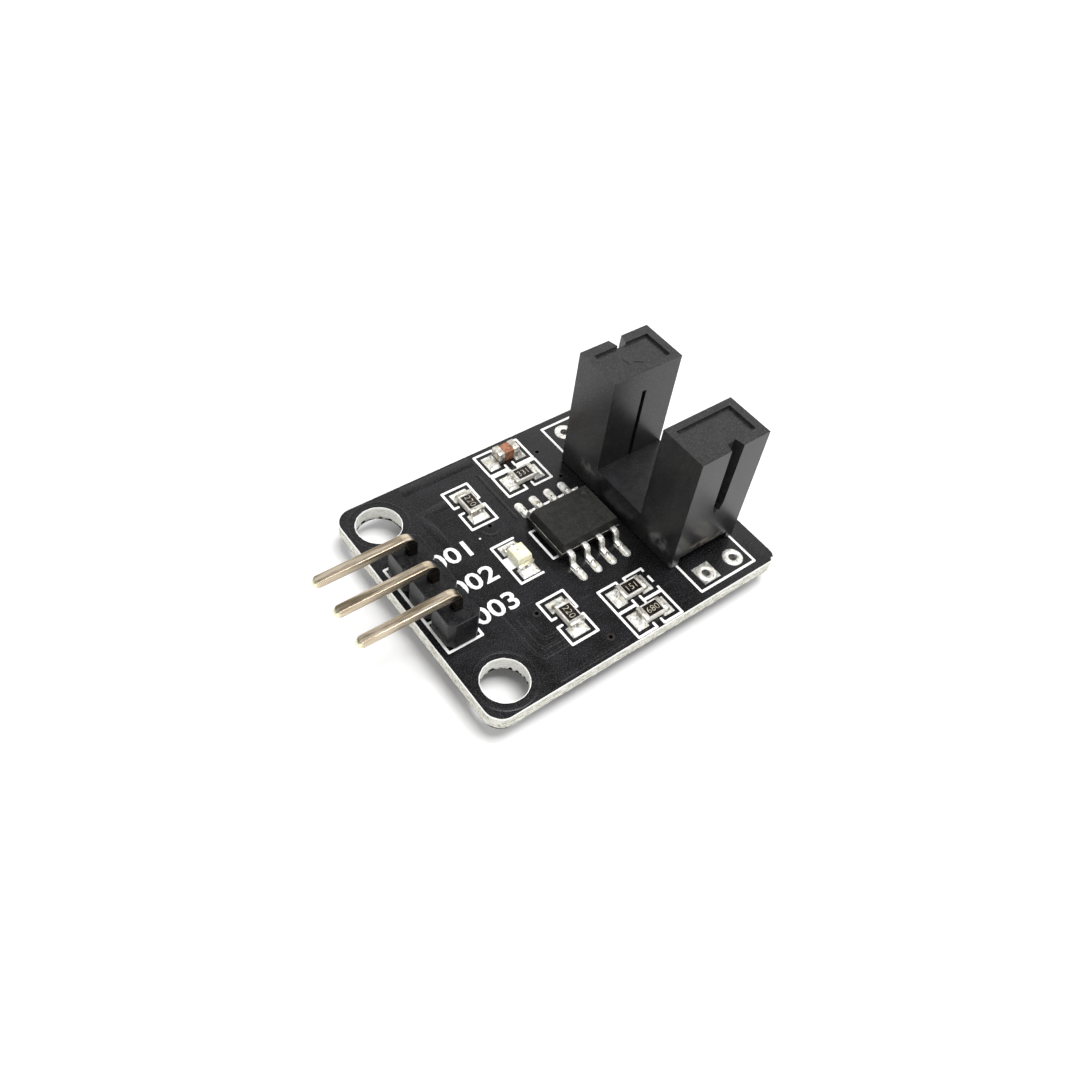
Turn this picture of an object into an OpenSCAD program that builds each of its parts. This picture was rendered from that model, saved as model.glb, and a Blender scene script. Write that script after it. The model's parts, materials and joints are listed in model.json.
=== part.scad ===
// Slotted through-beam sensor module: a small circuit board that carries a slotted optical
// sensor, an eight-lead comparator, seven chip parts and an angled three-way pin header.
//
// Every sub-part is laid out in the board's frame: x runs from the header edge towards the
// sensor, y from the near long edge, and z is up from the top of the board. The model is then
// moved so that its origin lies under the middle of its bounding box, on the surface where
// the cut lead tails stand.

/* [Board] */
// Length of the board, along x
board_l = 24.1; // [23.6:0.1:26]
// Width of the board, along y
board_w = 19.3; // [19.2:0.1:21]
// Thickness of the board with both mask films
board_t = 1.2; // [0.8:0.1:1.6]
// Corner radius of the board
corner_r = 1.27; // [0.6:0.01:1.9]
// Radius of the one corner that is worn and nicked
worn_r = 0.75; // [0.5:0.05:1.25]
// Diameter of the two mounting holes
hole_d = 3.1; // [2.4:0.1:3.2]
// Distance from a mounting hole's axis to the two edges beside it
hole_inset = 2.33; // [2.3:0.01:2.4]
// Length of the lead tails below the board, on which the module stands
tail_l = 1.2; // [0.9:0.1:2]

/* [Pin header] */
// Side of a square pin
pin_w = 0.6; // [0.5:0.01:0.7]
// How far the pins reach past the board's edge
pin_reach = 5.1; // [3:0.1:8]
// Height of the level pin part's middle above the board
pin_rise = 3.96; // [3.9:0.02:5]
// Inner radius of the pin bend
pin_bend_r = 0.45; // [0.2:0.05:0.6]
// Width of the insulator, across the row
insulator_w = 2.4; // [2:0.1:2.6]
// Height of the insulator's top above the board
insulator_h = 2.5; // [2:0.1:2.8]
// Corner cut of one insulator unit, in plan
insulator_cut = 0.4; // [0.2:0.05:0.6]

/* [Slotted sensor] */
// Width of the housing, along x
housing_w = 5.85; // [5.6:0.05:6.2]
// Length of the housing over both posts, along y
housing_l = 12.05; // [11.9:0.05:12.4]
// Height of the housing's top above the board
housing_h = 10.15; // [9:0.05:12]
// Width of the sensing gap between the posts
gap_w = 4.7; // [4.3:0.1:5.2]
// Height of the bridge under the sensing gap
bridge_h = 2.25; // [2:0.05:3]
// Width of the aperture slit in the face beside the gap
slit_w = 0.34; // [0.25:0.01:0.6]
// Height of the slit's top above the board
slit_top = 8.35; // [7:0.05:8.5]
// Depth of the sunk panel on top of each post
panel_drop = 0.2; // [0.1:0.05:0.4]
// Height of the arch between the feet of each end wall, above the board
arch_h = 0.85; // [0.4:0.05:1.2]

/* [Comparator] */
// Length of the moulded body, along x
ic_l = 4.9; // [4.7:0.1:5.1]
// Width of the moulded body, along y
ic_w = 3.8; // [3.7:0.1:4]
// Height of the body's top above the board
ic_h = 1.6; // [1.4:0.05:1.8]
// Span over both rows of lead tips
ic_span = 6.1; // [5.9:0.1:6.2]

/* [Chip parts] */
// Length of a chip resistor
resistor_l = 1.9; // [1.8:0.05:2.1]
// Width of a chip resistor
resistor_w = 1.14; // [1:0.02:1.3]
// Height of a chip resistor
resistor_h = 0.5; // [0.4:0.05:0.6]
// Length of the chip capacitor
capacitor_l = 1.8; // [1.6:0.05:2]
// Width and height of the chip capacitor
capacitor_w = 0.95; // [0.8:0.05:1.25]
// Length of the indicator
indicator_l = 2; // [1.9:0.05:2.1]
// Height of the indicator's lens top above the board
indicator_h = 0.75; // [0.6:0.05:1]

/* [Hidden] */
$fn = 48;
slack = 0.01;       // cutters run this far past a face that they open

// Films on the board
film_t = 0.04;      // solder mask, and the copper that shows through its windows
mask_edge = 0.08;   // how far the mask stops short of the board's edges
hole_edge = 0.06;   // how far it stops short of a mounting hole
// Nick in the worn corner: its deepest point and the two sides of its mouth, from the corner,
// and the way its deepest point moves as the outline is set in
nick_deep = [-0.45, 0.2];
nick_left = [-0.5, 0];
nick_right = [-0.1, 0.1];
nick_move = [-0.5, 1];
ink_t = 0.02;
ink_w = 0.18;
plate_t = 0.04;     // copper wall of a plated hole

// Pin header
pitch = 2.54;
ways = 3;
header_x = 1.85;
header_y = board_w / 2;
insulator_foot = 0.12;
pin_tip_cut = 0.16;
header_bore_r = 0.5;
header_land_r = 0.85;

// Slotted sensor
sensor_x = 19.72;
sensor_y = 9.3;
housing_foot = 0.1;
foot_w = 0.7;                               // width of a corner foot beside the arch
outer_wall = 0.72;
gap_wall = 0.53;
end_wall = 0.6;
post_roof = 0.85;
post_t = (housing_l - gap_w) / 2;
post_y = (housing_l - post_t) / 2;          // a post's middle, from the sensor's middle
pocket_t = post_t - outer_wall - gap_wall;
pocket_w = housing_w - 2 * end_wall;
pocket_y = post_y + (gap_wall - outer_wall) / 2;
slot_x = 0.08;                              // the outer slot stands a little off the middle
slot_top_w = 1.1;
slot_root_w = 0.72;                         // its width where it meets the pocket
slot_foot_w = 0.8;
slot_foot = 4.2;
slot_shoulder = 4.9;
lead_x = pitch / 2;
lead_w = 0.5;
lead_t = 0.4;
sensor_bore_r = 0.42;
sensor_land_r = 0.8;
package_h = 4.7;
package_t = 1.6;
optic_z = 7;

// Spare plated holes for a wider sensor
spare_x = 20.04;
spare_y = 7.9;                              // from the board's middle
spare_bore_r = 0.4;
spare_land_r = 0.74;
footprint_w = 5;

// Small vias: x and y of each
VIAS = [[15.8, 14.1], [8.7, 12.95], [15.75, 16.95], [7, 5.3], [17.1, 8.15], [9.9, 1.25]];
via_bore_r = 0.14;
via_land_r = 0.3;

// Comparator
ic_x = 13.33;
ic_y = board_w / 2 + 0.03;
ic_pitch = pitch / 2;
ic_base = 0.12;
ic_parting = 0.87;
ic_draft = 0.14;
ic_lead_w = 0.42;
ic_lead_t = 0.2;
ic_lead_root = 0.25;
ic_shoulder = 0.27;
ic_bend_r = 0.2;
ic_bend = 78;
ic_pad_w = 0.62;
ic_pad_in = 2.42;
ic_pad_out = 3.98;
dimple_r = 0.3;
dimple_d = 0.06;

// Chip parts: middle x, middle y and turn of each
RESISTORS = [
    [8.6, 15.2, 90],
    [13.36, 15.5, 0],
    [8.6, 4.02, 90],
    [13.36, 3.42, 0],
    [13.4, 1.3, 0]
];
CAPACITOR = [13.46, 17.8, 0];
INDICATOR = [8.72, 9.62, 90];
// Middles of the printed chip outlines and their pads
CHIP_SITES = [
    [8.5, 15.15, 90],
    [13.28, 15.44, 0],
    [8.5, 3.99, 90],
    [13.28, 3.38, 0],
    [13.28, 1.24, 0],
    [13.26, 17.74, 0]
];
INDICATOR_SITE = [8.635, 9.49, 90];
site_l = 3.78;
indicator_site_l = 3.48;
site_w = 2.1;
site_notch = 0.33;      // half the break in a chip's long outline
site_tick = 0.36;
missing_ink = [3.93, 2.93];     // y of each gap in the fourth outline
missing_l = 0.42;
ink_dot = [7.45, 12.35];
ink_dot_r = 0.13;
pad_in = 0.68;
pad_out = 1.56;
pad_w = 1.38;
terminal_l = 0.3;
terminal_t = 0.03;
overcoat_l = 1.18;
overcoat_w = 0.88;
joint_h = 0.34;
capacitor_cap = 0.5;
indicator_w = 1.25;
indicator_base_h = 0.3;
notch_r = 0.14;
lens_l = 1.36;
lens_draft = 0.07;
die_w = 0.3;
die_h = 0.14;

// The frame that the whole model is moved to
stand_h = board_t + tail_l;
mid_x = (board_l - pin_reach) / 2;
mid_y = board_w / 2;

module placed() translate([-mid_x, -mid_y, stand_h]) children();

module at_chip(site) translate([site[0], site[1], 0]) rotate([0, 0, site[2]]) children();

// Plan shapes

// What a corner radius leaves of a square at the origin, to be cut away
module corner_waste(r) difference() {
    translate([-slack, -slack]) square(r + slack);
    translate([r, r]) circle(r);
}

module board_plan(inset) difference() {
    translate([inset, inset]) square([board_l - 2 * inset, board_w - 2 * inset]);
    for (x = [0, 1], y = [0, 1])
        translate([inset + x * (board_l - 2 * inset), inset + y * (board_w - 2 * inset)])
            mirror([x, 0]) mirror([0, y])
                corner_waste((x == 1 && y == 0 ? worn_r : corner_r) - inset);
    // a triangular nick in the worn corner
    translate([board_l, 0]) polygon([
        nick_left,
        nick_deep + inset * nick_move,
        nick_right + [0, inset],
        [0, 0]
    ]);
}

module at_mounting_holes() {
    for (y = [hole_inset, board_w - hole_inset]) translate([hole_inset, y]) children();
}

module at_header_ways() {
    for (i = [1:ways]) translate([header_x, header_y + pitch * (2 - i)]) children();
}

module at_sensor_leads() {
    for (x = [-lead_x, lead_x], y = [-post_y, post_y])
        translate([sensor_x + x, sensor_y + y]) children();
}

module at_spare_holes() {
    for (x = [-lead_x, lead_x], y = [-spare_y, spare_y])
        translate([spare_x + x, header_y + y]) children();
}

module at_vias() {
    for (v = VIAS) translate(v) children();
}

module spare_land() {
    at_spare_holes() circle(spare_land_r);
    // the first of the four has a square land
    translate([spare_x - lead_x, header_y - spare_y]) square(2 * spare_land_r, center = true);
}

module comparator_pad() {
    straight = ic_pad_out - ic_pad_in - ic_pad_w;
    translate([0, ic_pad_in + ic_pad_w / 2]) {
        translate([-ic_pad_w / 2, 0]) square([ic_pad_w, straight]);
        circle(ic_pad_w / 2);
        translate([0, straight]) circle(ic_pad_w / 2);
    }
}

module comparator_pad_plan() {
    translate([ic_x, ic_y]) for (i = [-1.5:1.5], s = [0, 180])
        rotate(s) translate([i * ic_pitch, 0]) comparator_pad();
}

module chip_pad_pair() {
    for (s = [0, 180]) rotate(s)
        translate([pad_in, -pad_w / 2]) square([pad_out - pad_in, pad_w]);
}

module chip_pad_plan() {
    for (site = concat(CHIP_SITES, [INDICATOR_SITE]))
        translate([site[0], site[1]]) rotate(site[2]) chip_pad_pair();
}

// A printed line of round-ended strokes through a list of points
module stroke(points, w) {
    for (i = [0:len(points) - 2]) {
        run = points[i + 1] - points[i];
        translate(points[i]) rotate(atan2(run[1], run[0]))
            translate([0, -w / 2]) square([norm(run), w]);
    }
    for (p = points) translate(p) circle(w / 2);
}

// Board and its films

module board() color([0.80, 0.79, 0.66]) placed() {
    core_t = board_t - 2 * film_t;
    translate([0, 0, -board_t + film_t]) difference() {
        linear_extrude(core_t) board_plan(0);
        translate([0, 0, -slack]) linear_extrude(core_t + 2 * slack) {
            at_mounting_holes() circle(hole_d / 2);
            at_header_ways() circle(header_bore_r + plate_t);
            at_sensor_leads() circle(sensor_bore_r + plate_t);
            at_spare_holes() circle(spare_bore_r + plate_t);
            at_vias() circle(via_bore_r + plate_t);
        }
    }
}

module mask_film() {
    linear_extrude(film_t) difference() {
        board_plan(mask_edge);
        at_mounting_holes() circle(hole_d / 2 + hole_edge);
        at_header_ways() circle(header_land_r);
        at_sensor_leads() circle(sensor_land_r);
        spare_land();
        at_vias() circle(via_land_r);
        children();
    }
}

module mask_top() color([0.07, 0.07, 0.08]) placed() translate([0, 0, -film_t]) mask_film() {
    comparator_pad_plan();
    chip_pad_plan();
}

module mask_bottom() color([0.07, 0.07, 0.08]) placed() translate([0, 0, -board_t]) mask_film();

// One plated hole: a wall through the board and a land in each face
module plated_hole(bore_r, land_r, square_land = false) {
    module land() linear_extrude(film_t)
        if (square_land) square(2 * land_r, center = true);
        else circle(land_r);
    difference() {
        union() {
            translate([0, 0, -board_t]) cylinder(h = board_t, r = bore_r + plate_t);
            translate([0, 0, -film_t]) land();
            translate([0, 0, -board_t]) land();
        }
        translate([0, 0, -board_t - slack]) cylinder(h = board_t + 2 * slack, r = bore_r);
    }
}

module vias() color([0.30, 0.30, 0.30]) placed()
    at_vias() plated_hole(via_bore_r, via_land_r);

module header_plated_holes() color([0.82, 0.82, 0.80]) placed()
    at_header_ways() plated_hole(header_bore_r, header_land_r);

module sensor_plated_holes() color([0.82, 0.82, 0.80]) placed()
    at_sensor_leads() plated_hole(sensor_bore_r, sensor_land_r);

module spare_plated_holes() color([0.82, 0.82, 0.80]) placed() {
    for (x = [-1, 1], y = [-1, 1])
        translate([spare_x + x * lead_x, header_y + y * spare_y, 0])
            plated_hole(spare_bore_r, spare_land_r, x < 0 && y < 0);
}

module comparator_pads() color([0.85, 0.85, 0.83]) placed()
    translate([0, 0, -film_t]) linear_extrude(film_t) comparator_pad_plan();

module chip_pads() color([0.85, 0.85, 0.83]) placed()
    translate([0, 0, -film_t]) linear_extrude(film_t) chip_pad_plan();

// Printed outlines

// A bracket round one pad of a chip part; both together leave a break in each long side
module chip_bracket(l, w) {
    stroke([
        [site_notch, -w / 2 + site_tick],
        [site_notch, -w / 2],
        [l / 2, -w / 2],
        [l / 2, w / 2],
        [site_notch, w / 2],
        [site_notch, w / 2 - site_tick]
    ], ink_w);
}

module chip_outline() {
    chip_bracket(site_l, site_w);
    mirror([1, 0]) chip_bracket(site_l, site_w);
}

// The indicator's outline is open along one side
module indicator_outline() {
    open_y = -0.74;
    block_l = 1;
    block_w = 0.5;
    stroke([
        [indicator_site_l / 2, open_y],
        [indicator_site_l / 2, site_w / 2],
        [-indicator_site_l / 2, site_w / 2],
        [-indicator_site_l / 2, open_y]
    ], ink_w);
    // the block that marks one end
    translate([0.04 - block_l / 2, site_w / 2 - 0.06 - block_w]) square([block_l, block_w]);
}

module comparator_outline() {
    for (s = [-1, 1])
        stroke([
            [s * 2.23, 1.34],
            [s * 2.67, 1.34],
            [s * 2.67, -1.34],
            [s * 2.23, -1.34]
        ], ink_w);
    for (x = [-1.27, 0, 1.27, 2.54]) stroke([[x - 0.16, 2.93], [x + 0.2, 2.93]], ink_w * 0.8);
}

module header_outline() {
    y_out = pitch * ways / 2;
    stroke([
        [header_x - pitch / 2, header_y - y_out],
        [header_x + pitch / 2, header_y - y_out],
        [header_x + pitch / 2, header_y + y_out],
        [header_x - pitch / 2, header_y + y_out],
        [header_x - pitch / 2, header_y - y_out]
    ], ink_w);
    stroke([
        [header_x - pitch / 2, header_y - pitch / 2],
        [header_x + pitch / 2, header_y - pitch / 2]
    ], ink_w);
}

// The wide footprint shows past both ends of the housing
module sensor_outline() {
    edge = spare_y + 1.05;
    hidden = housing_l / 2 - 0.3;
    for (s = [-1, 1])
        translate([0, header_y]) stroke([
            [sensor_x + 0.2 - footprint_w / 2, s * hidden],
            [sensor_x + 0.2 - footprint_w / 2, s * edge],
            [sensor_x + 0.2 + footprint_w / 2, s * edge],
            [sensor_x + 0.2 + footprint_w / 2, s * hidden]
        ], ink_w);
}

module printed_outlines() color([0.96, 0.96, 0.95]) placed() linear_extrude(ink_t) {
    difference() {
        for (site = CHIP_SITES) translate([site[0], site[1]]) rotate(site[2]) chip_outline();
        // ink missing from the side of one outline
        for (y = missing_ink)
            translate([CHIP_SITES[3][0] + site_l / 2, y]) square([2 * ink_w, missing_l], center = true);
    }
    translate(ink_dot) circle(ink_dot_r);
    translate([INDICATOR_SITE[0], INDICATOR_SITE[1]]) rotate(90) indicator_outline();
    translate([ic_x, header_y]) comparator_outline();
    header_outline();
    sensor_outline();
}

// Pin header

// Plan of the insulator: a row of units with cut corners
function insulator_side(x, cut) = [
    for (i = [0:ways - 1], p = [[cut, 0], [0, insulator_cut], [0, pitch - insulator_cut], [cut, pitch]])
        [x + p[0], header_y + (i - ways / 2) * pitch + p[1]]
];

module insulator_plan() {
    near = insulator_side(header_x - insulator_w / 2, insulator_cut);
    far = insulator_side(header_x + insulator_w / 2, -insulator_cut);
    polygon(concat(near, [for (i = [len(far) - 1:-1:0]) far[i]]));
}

module header_insulator() color([0.10, 0.10, 0.11]) placed() {
    foot_l = 0.5;
    difference() {
        union() {
            translate([0, 0, insulator_foot])
                linear_extrude(insulator_h - insulator_foot) insulator_plan();
            for (s = [-1, 1])
                translate([header_x, header_y + s * (pitch * 1.5 - foot_l), insulator_foot / 2])
                    cube([insulator_w / 2, foot_l, insulator_foot], center = true);
        }
        at_header_ways() translate([-pin_w / 2, -pin_w / 2, 0]) cube([pin_w, pin_w, insulator_h + slack]);
    }
}

// Side view of one pin, in x and z from the foot of its upright part
module pin_side() {
    bend_out = pin_bend_r + pin_w;
    bend_z = pin_rise + pin_w / 2 - bend_out;
    level_x = -pin_w / 2 - pin_bend_r;
    translate([-pin_w / 2, -stand_h]) square([pin_w, stand_h + bend_z]);
    translate([level_x, bend_z]) intersection() {
        difference() {
            circle(bend_out);
            circle(pin_bend_r);
        }
        square(bend_out);
    }
    translate([-pin_reach - header_x, pin_rise - pin_w / 2])
        square([pin_reach + header_x + level_x, pin_w]);
}

// Cuts the four edges of a pin's free end
module pin_tip_cutter() {
    far = pin_w;
    for (a = [0:90:270]) rotate([a, 0, 0]) linear_extrude(2 * pin_w, center = true)
        polygon([
            [-far, pin_w / 2 - pin_tip_cut * (far + pin_tip_cut * 2) / (pin_tip_cut * 2)],
            [pin_tip_cut * 2, pin_w / 2],
            [pin_tip_cut * 2, pin_w / 2 + far],
            [-far, pin_w / 2 + far]
        ]);
}

module header_pin(i) color([0.87, 0.80, 0.60]) placed()
    translate([header_x, header_y + pitch * (2 - i), 0]) difference() {
        rotate([90, 0, 0]) linear_extrude(pin_w, center = true) pin_side();
        translate([-pin_reach - header_x, 0, pin_rise]) pin_tip_cutter();
    }

// Solder in one plated hole, with a cone below the board, round a lead that is cut out
module hole_joint(bore_r, land_r, tip_r) {
    cone_h = tail_l * 0.72;
    rotate_extrude() polygon([
        [0, -board_t - cone_h],
        [tip_r, -board_t - cone_h],
        [land_r * 0.55, -board_t - cone_h * 0.45],
        [land_r * 0.92, -board_t - 0.06],
        [land_r * 0.92, -board_t],
        [bore_r, -board_t],
        [bore_r, 0],
        [0, 0]
    ]);
}

module header_joints() color([0.78, 0.78, 0.77]) placed() at_header_ways() difference() {
    hole_joint(header_bore_r, header_land_r, pin_w * 0.72);
    translate([-pin_w / 2, -pin_w / 2, -stand_h]) cube([pin_w, pin_w, stand_h + slack]);
}

// Slotted sensor

module housing_profile() {
    translate([-housing_l / 2, housing_foot]) square([housing_l, bridge_h - housing_foot]);
    for (s = [-1, 1])
        translate([s * post_y - post_t / 2, housing_foot]) square([post_t, housing_h - housing_foot]);
}

// The outer slot: open at the top, narrowing near its foot, with a mouth that flares outwards
module outer_slot() intersection() {
    rotate([90, 0, 0]) linear_extrude(outer_wall + 2 * slack, center = true) polygon([
        [-slot_top_w / 2, housing_h + slack],
        [-slot_foot_w / 2 - 0.05, slot_shoulder],
        [-slot_foot_w / 2 + 0.15, slot_foot],
        [slot_foot_w / 2 - 0.15, slot_foot],
        [slot_foot_w / 2 + 0.05, slot_shoulder],
        [slot_top_w / 2, housing_h + slack]
    ]);
    linear_extrude(housing_h + 2 * slack) polygon([
        [-slot_root_w / 2, -outer_wall / 2 - slack],
        [slot_root_w / 2, -outer_wall / 2 - slack],
        [slot_top_w / 2, outer_wall / 2 + slack],
        [-slot_top_w / 2, outer_wall / 2 + slack]
    ]);
}

module sensor_housing() color([0.16, 0.16, 0.17]) placed() translate([sensor_x, sensor_y, 0])
    difference() {
        union() {
            rotate([90, 0, 90]) linear_extrude(housing_w, center = true) housing_profile();
            for (x = [-1, 1], y = [-1, 1])
                translate([x * (housing_w / 2 - 0.4), y * (post_y - 0.4), housing_foot / 2])
                    cube([0.5, 0.9, housing_foot], center = true);
        }
        for (s = [0, 180]) rotate([0, 0, s]) {
            // sunk panel on top, and the pocket that holds a package
            translate([0, pocket_y, housing_h - panel_drop / 2 + slack / 2])
                cube([pocket_w, pocket_t, panel_drop + slack], center = true);
            pocket_top = housing_h - post_roof;
            translate([-pocket_w / 2, pocket_y - pocket_t / 2, -slack])
                cube([pocket_w, pocket_t, pocket_top + slack]);
            // aperture slit towards the gap
            translate([-slit_w / 2, housing_l / 2 - post_t - slack, bridge_h])
                cube([slit_w, gap_wall + 2 * slack, slit_top - bridge_h]);
            translate([s == 0 ? slot_x : -slot_x, housing_l / 2 - outer_wall / 2, 0]) outer_slot();
            // arch between the feet of the end wall
            translate([-housing_w / 2 + foot_w, housing_l / 2 - outer_wall - slack, 0])
                cube([housing_w - 2 * foot_w, outer_wall + 2 * slack, arch_h]);
        }
    }

// A side-looking package: a block against the outer wall with a round lens towards the slit
module optic_package() {
    z_top = housing_h - post_roof;
    back = pocket_y + pocket_t / 2;
    lens_r = 1.35;
    lens_sag = pocket_t - package_t;
    translate([-pocket_w / 2, back - package_t, z_top - package_h])
        cube([pocket_w, package_t, package_h]);
    intersection() {
        translate([0, back - pocket_t + lens_r, optic_z]) sphere(lens_r);
        translate([-lens_r, back - pocket_t, optic_z - lens_r])
            cube([2 * lens_r, lens_sag + slack, 2 * lens_r]);
    }
}

module emitter_package() color([0.55, 0.60, 0.72]) placed()
    translate([sensor_x, sensor_y, 0]) optic_package();

module detector_package() color([0.14, 0.13, 0.16]) placed()
    translate([sensor_x, sensor_y, 0]) rotate([0, 0, 180]) optic_package();

// side is 1 for the emitter's post and -1 for the detector's
module sensor_lead(side, i) color([0.80, 0.80, 0.79]) placed() {
    z_top = housing_h - post_roof - package_h;
    translate([sensor_x + (i * 2 - 3) * lead_x, sensor_y + side * post_y, -stand_h])
        translate([-lead_w / 2, -lead_t / 2, 0]) cube([lead_w, lead_t, stand_h + z_top]);
}

module sensor_joints() color([0.78, 0.78, 0.77]) placed() at_sensor_leads() difference() {
    hole_joint(sensor_bore_r, sensor_land_r, lead_w * 0.7);
    translate([-lead_w / 2, -lead_t / 2, -stand_h]) cube([lead_w, lead_t, stand_h + slack]);
}

// Comparator

// Side view of the body: widest at the parting line, with draft above and below
module drafted_profile(w) {
    polygon([
        [-w / 2 + ic_draft, ic_base],
        [w / 2 - ic_draft, ic_base],
        [w / 2, ic_parting],
        [w / 2 - ic_draft, ic_h],
        [-w / 2 + ic_draft, ic_h],
        [-w / 2, ic_parting]
    ]);
}

module at_comparator_lead(i) {
    // leads 1 to 4 run along the far row, 5 to 8 back along the near row
    row = i > 4 ? -1 : 1;
    column = i > 4 ? i - 6.5 : 2.5 - i;
    translate([ic_x + column * ic_pitch, ic_y, 0]) rotate([0, 0, row > 0 ? 0 : 180]) children();
}

module comparator_body() color([0.17, 0.17, 0.17]) placed() difference() {
    translate([ic_x, ic_y, 0]) difference() {
        intersection() {
            rotate([90, 0, 0]) linear_extrude(ic_w, center = true) drafted_profile(ic_l);
            rotate([90, 0, 90]) linear_extrude(ic_l, center = true) drafted_profile(ic_w);
        }
        translate([ic_l / 2 - 0.75, ic_w / 2 - 0.75, ic_h - dimple_d])
            cylinder(h = dimple_d + slack, r = dimple_r);
    }
    for (i = [1:8]) at_comparator_lead(i)
        translate([-ic_lead_w / 2, ic_w / 2 - ic_lead_root, ic_parting - ic_lead_t / 2])
            cube([ic_lead_w, ic_lead_root + slack, ic_lead_t]);
}

// Centre line of a gull-wing lead: distance out, height, and heading at each point
drop = ic_parting - ic_lead_t / 2;
leg_l = (drop - 2 * ic_bend_r * (1 - cos(ic_bend))) / sin(ic_bend);
function turn(start, from, to) = [
    for (k = [0:4]) let (a = from + (to - from) * k / 4, s = to > from ? 1 : -1)
        [start[0] + s * ic_bend_r * (sin(a) - sin(from)),
         start[1] - s * ic_bend_r * (cos(a) - cos(from)), a]
];
function lead_line() =
    let (
        root = [ic_w / 2 - ic_lead_root, ic_parting, 0],
        first = turn([ic_w / 2 + ic_shoulder, ic_parting], 0, -ic_bend),
        leg = last(first) + leg_l * [cos(ic_bend), -sin(ic_bend), 0],
        second = turn(leg, -ic_bend, 0)
    )
    concat([root], first, second, [[ic_span / 2, ic_lead_t / 2, 0]]);
function last(list) = list[len(list) - 1];
function beside(line, d) = [for (p = line) [p[0] - d * sin(p[2]), p[1] + d * cos(p[2])]];

module comparator_lead(i) color([0.83, 0.83, 0.81]) placed() at_comparator_lead(i) {
    upper = beside(lead_line(), ic_lead_t / 2);
    lower = beside(lead_line(), -ic_lead_t / 2);
    rotate([90, 0, 90]) linear_extrude(ic_lead_w, center = true)
        polygon(concat(upper, [for (k = [len(lower) - 1:-1:0]) lower[k]]));
}

module comparator_joints() color([0.80, 0.80, 0.79]) placed()
    for (i = [1:8]) at_comparator_lead(i)
        rotate([90, 0, 90]) linear_extrude(ic_lead_w + 0.1, center = true) polygon([
            [ic_span / 2, 0],
            [ic_pad_out - 0.15, 0],
            [ic_pad_out - 0.4, 0.07],
            [ic_span / 2, ic_lead_t * 0.8]
        ]);

// Chip parts

// A terminal that wraps the top, the end and the underside of a flat chip
module wrapped_terminal(l, w, h) {
    rotate([90, 0, 0]) linear_extrude(w, center = true) polygon([
        [l / 2 - terminal_l, 0],
        [l / 2, 0],
        [l / 2, h],
        [l / 2 - terminal_l, h],
        [l / 2 - terminal_l, h - terminal_t],
        [l / 2 - terminal_t, h - terminal_t],
        [l / 2 - terminal_t, terminal_t],
        [l / 2 - terminal_l, terminal_t]
    ]);
}

module both_ends() for (s = [0, 180]) rotate([0, 0, s]) children();

module resistor_body(i) color([0.84, 0.84, 0.82]) placed() at_chip(RESISTORS[i - 1])
    translate([0, 0, resistor_h / 2])
        cube([resistor_l - 2 * terminal_t, resistor_w, resistor_h - 2 * terminal_t], center = true);

module resistor_overcoat(i) color([0.09, 0.08, 0.07]) placed() at_chip(RESISTORS[i - 1])
    translate([0, 0, resistor_h - terminal_t / 2])
        cube([overcoat_l, overcoat_w, terminal_t], center = true);

module resistor_terminals(i) color([0.80, 0.80, 0.78]) placed() at_chip(RESISTORS[i - 1])
    both_ends() wrapped_terminal(resistor_l, resistor_w, resistor_h);

module capacitor_block(inset) {
    translate([-capacitor_l / 2 + inset, -capacitor_w / 2 + inset, inset])
        cube([capacitor_l - 2 * inset, capacitor_w - 2 * inset, capacitor_w - 2 * inset]);
}

module capacitor_body() color([0.76, 0.47, 0.30]) placed() at_chip(CAPACITOR)
    capacitor_block(terminal_t);

module capacitor_terminals() color([0.80, 0.80, 0.78]) placed() at_chip(CAPACITOR)
    both_ends() difference() {
        translate([capacitor_l / 2 - capacitor_cap, -capacitor_w / 2, 0])
            cube([capacitor_cap, capacitor_w, capacitor_w]);
        capacitor_block(terminal_t);
    }

// Quarter-round notches down the four corners of the indicator's base
module corner_notches() {
    for (x = [-1, 1], y = [-1, 1])
        translate([x * indicator_l / 2, y * indicator_w / 2, -slack])
            cylinder(h = indicator_base_h + 2 * slack, r = notch_r);
}

module indicator_base() color([0.88, 0.88, 0.82]) placed() at_chip(INDICATOR) difference() {
    translate([0, 0, indicator_base_h / 2]) cube([
        indicator_l - 2 * terminal_t, indicator_w, indicator_base_h - 2 * terminal_t
    ], center = true);
    corner_notches();
}

module indicator_terminals() color([0.84, 0.82, 0.74]) placed() at_chip(INDICATOR) difference() {
    both_ends() wrapped_terminal(indicator_l, indicator_w, indicator_base_h);
    corner_notches();
}

module indicator_die() color([0.75, 0.70, 0.40]) placed() at_chip(INDICATOR)
    translate([0, 0, indicator_base_h - terminal_t + die_h / 2])
        cube([die_w, die_w, die_h], center = true);

module lens_profile(w) {
    foot = indicator_base_h - terminal_t;
    polygon([
        [-w / 2, foot],
        [w / 2, foot],
        [w / 2 - lens_draft, indicator_h],
        [-w / 2 + lens_draft, indicator_h]
    ]);
}

module indicator_lens() color([0.95, 0.94, 0.80]) placed() at_chip(INDICATOR) difference() {
    intersection() {
        rotate([90, 0, 0]) linear_extrude(indicator_w, center = true) lens_profile(lens_l);
        rotate([90, 0, 90]) linear_extrude(lens_l, center = true) lens_profile(indicator_w);
    }
    translate([0, 0, indicator_base_h - terminal_t + die_h / 2])
        cube([die_w, die_w, die_h], center = true);
}

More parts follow.
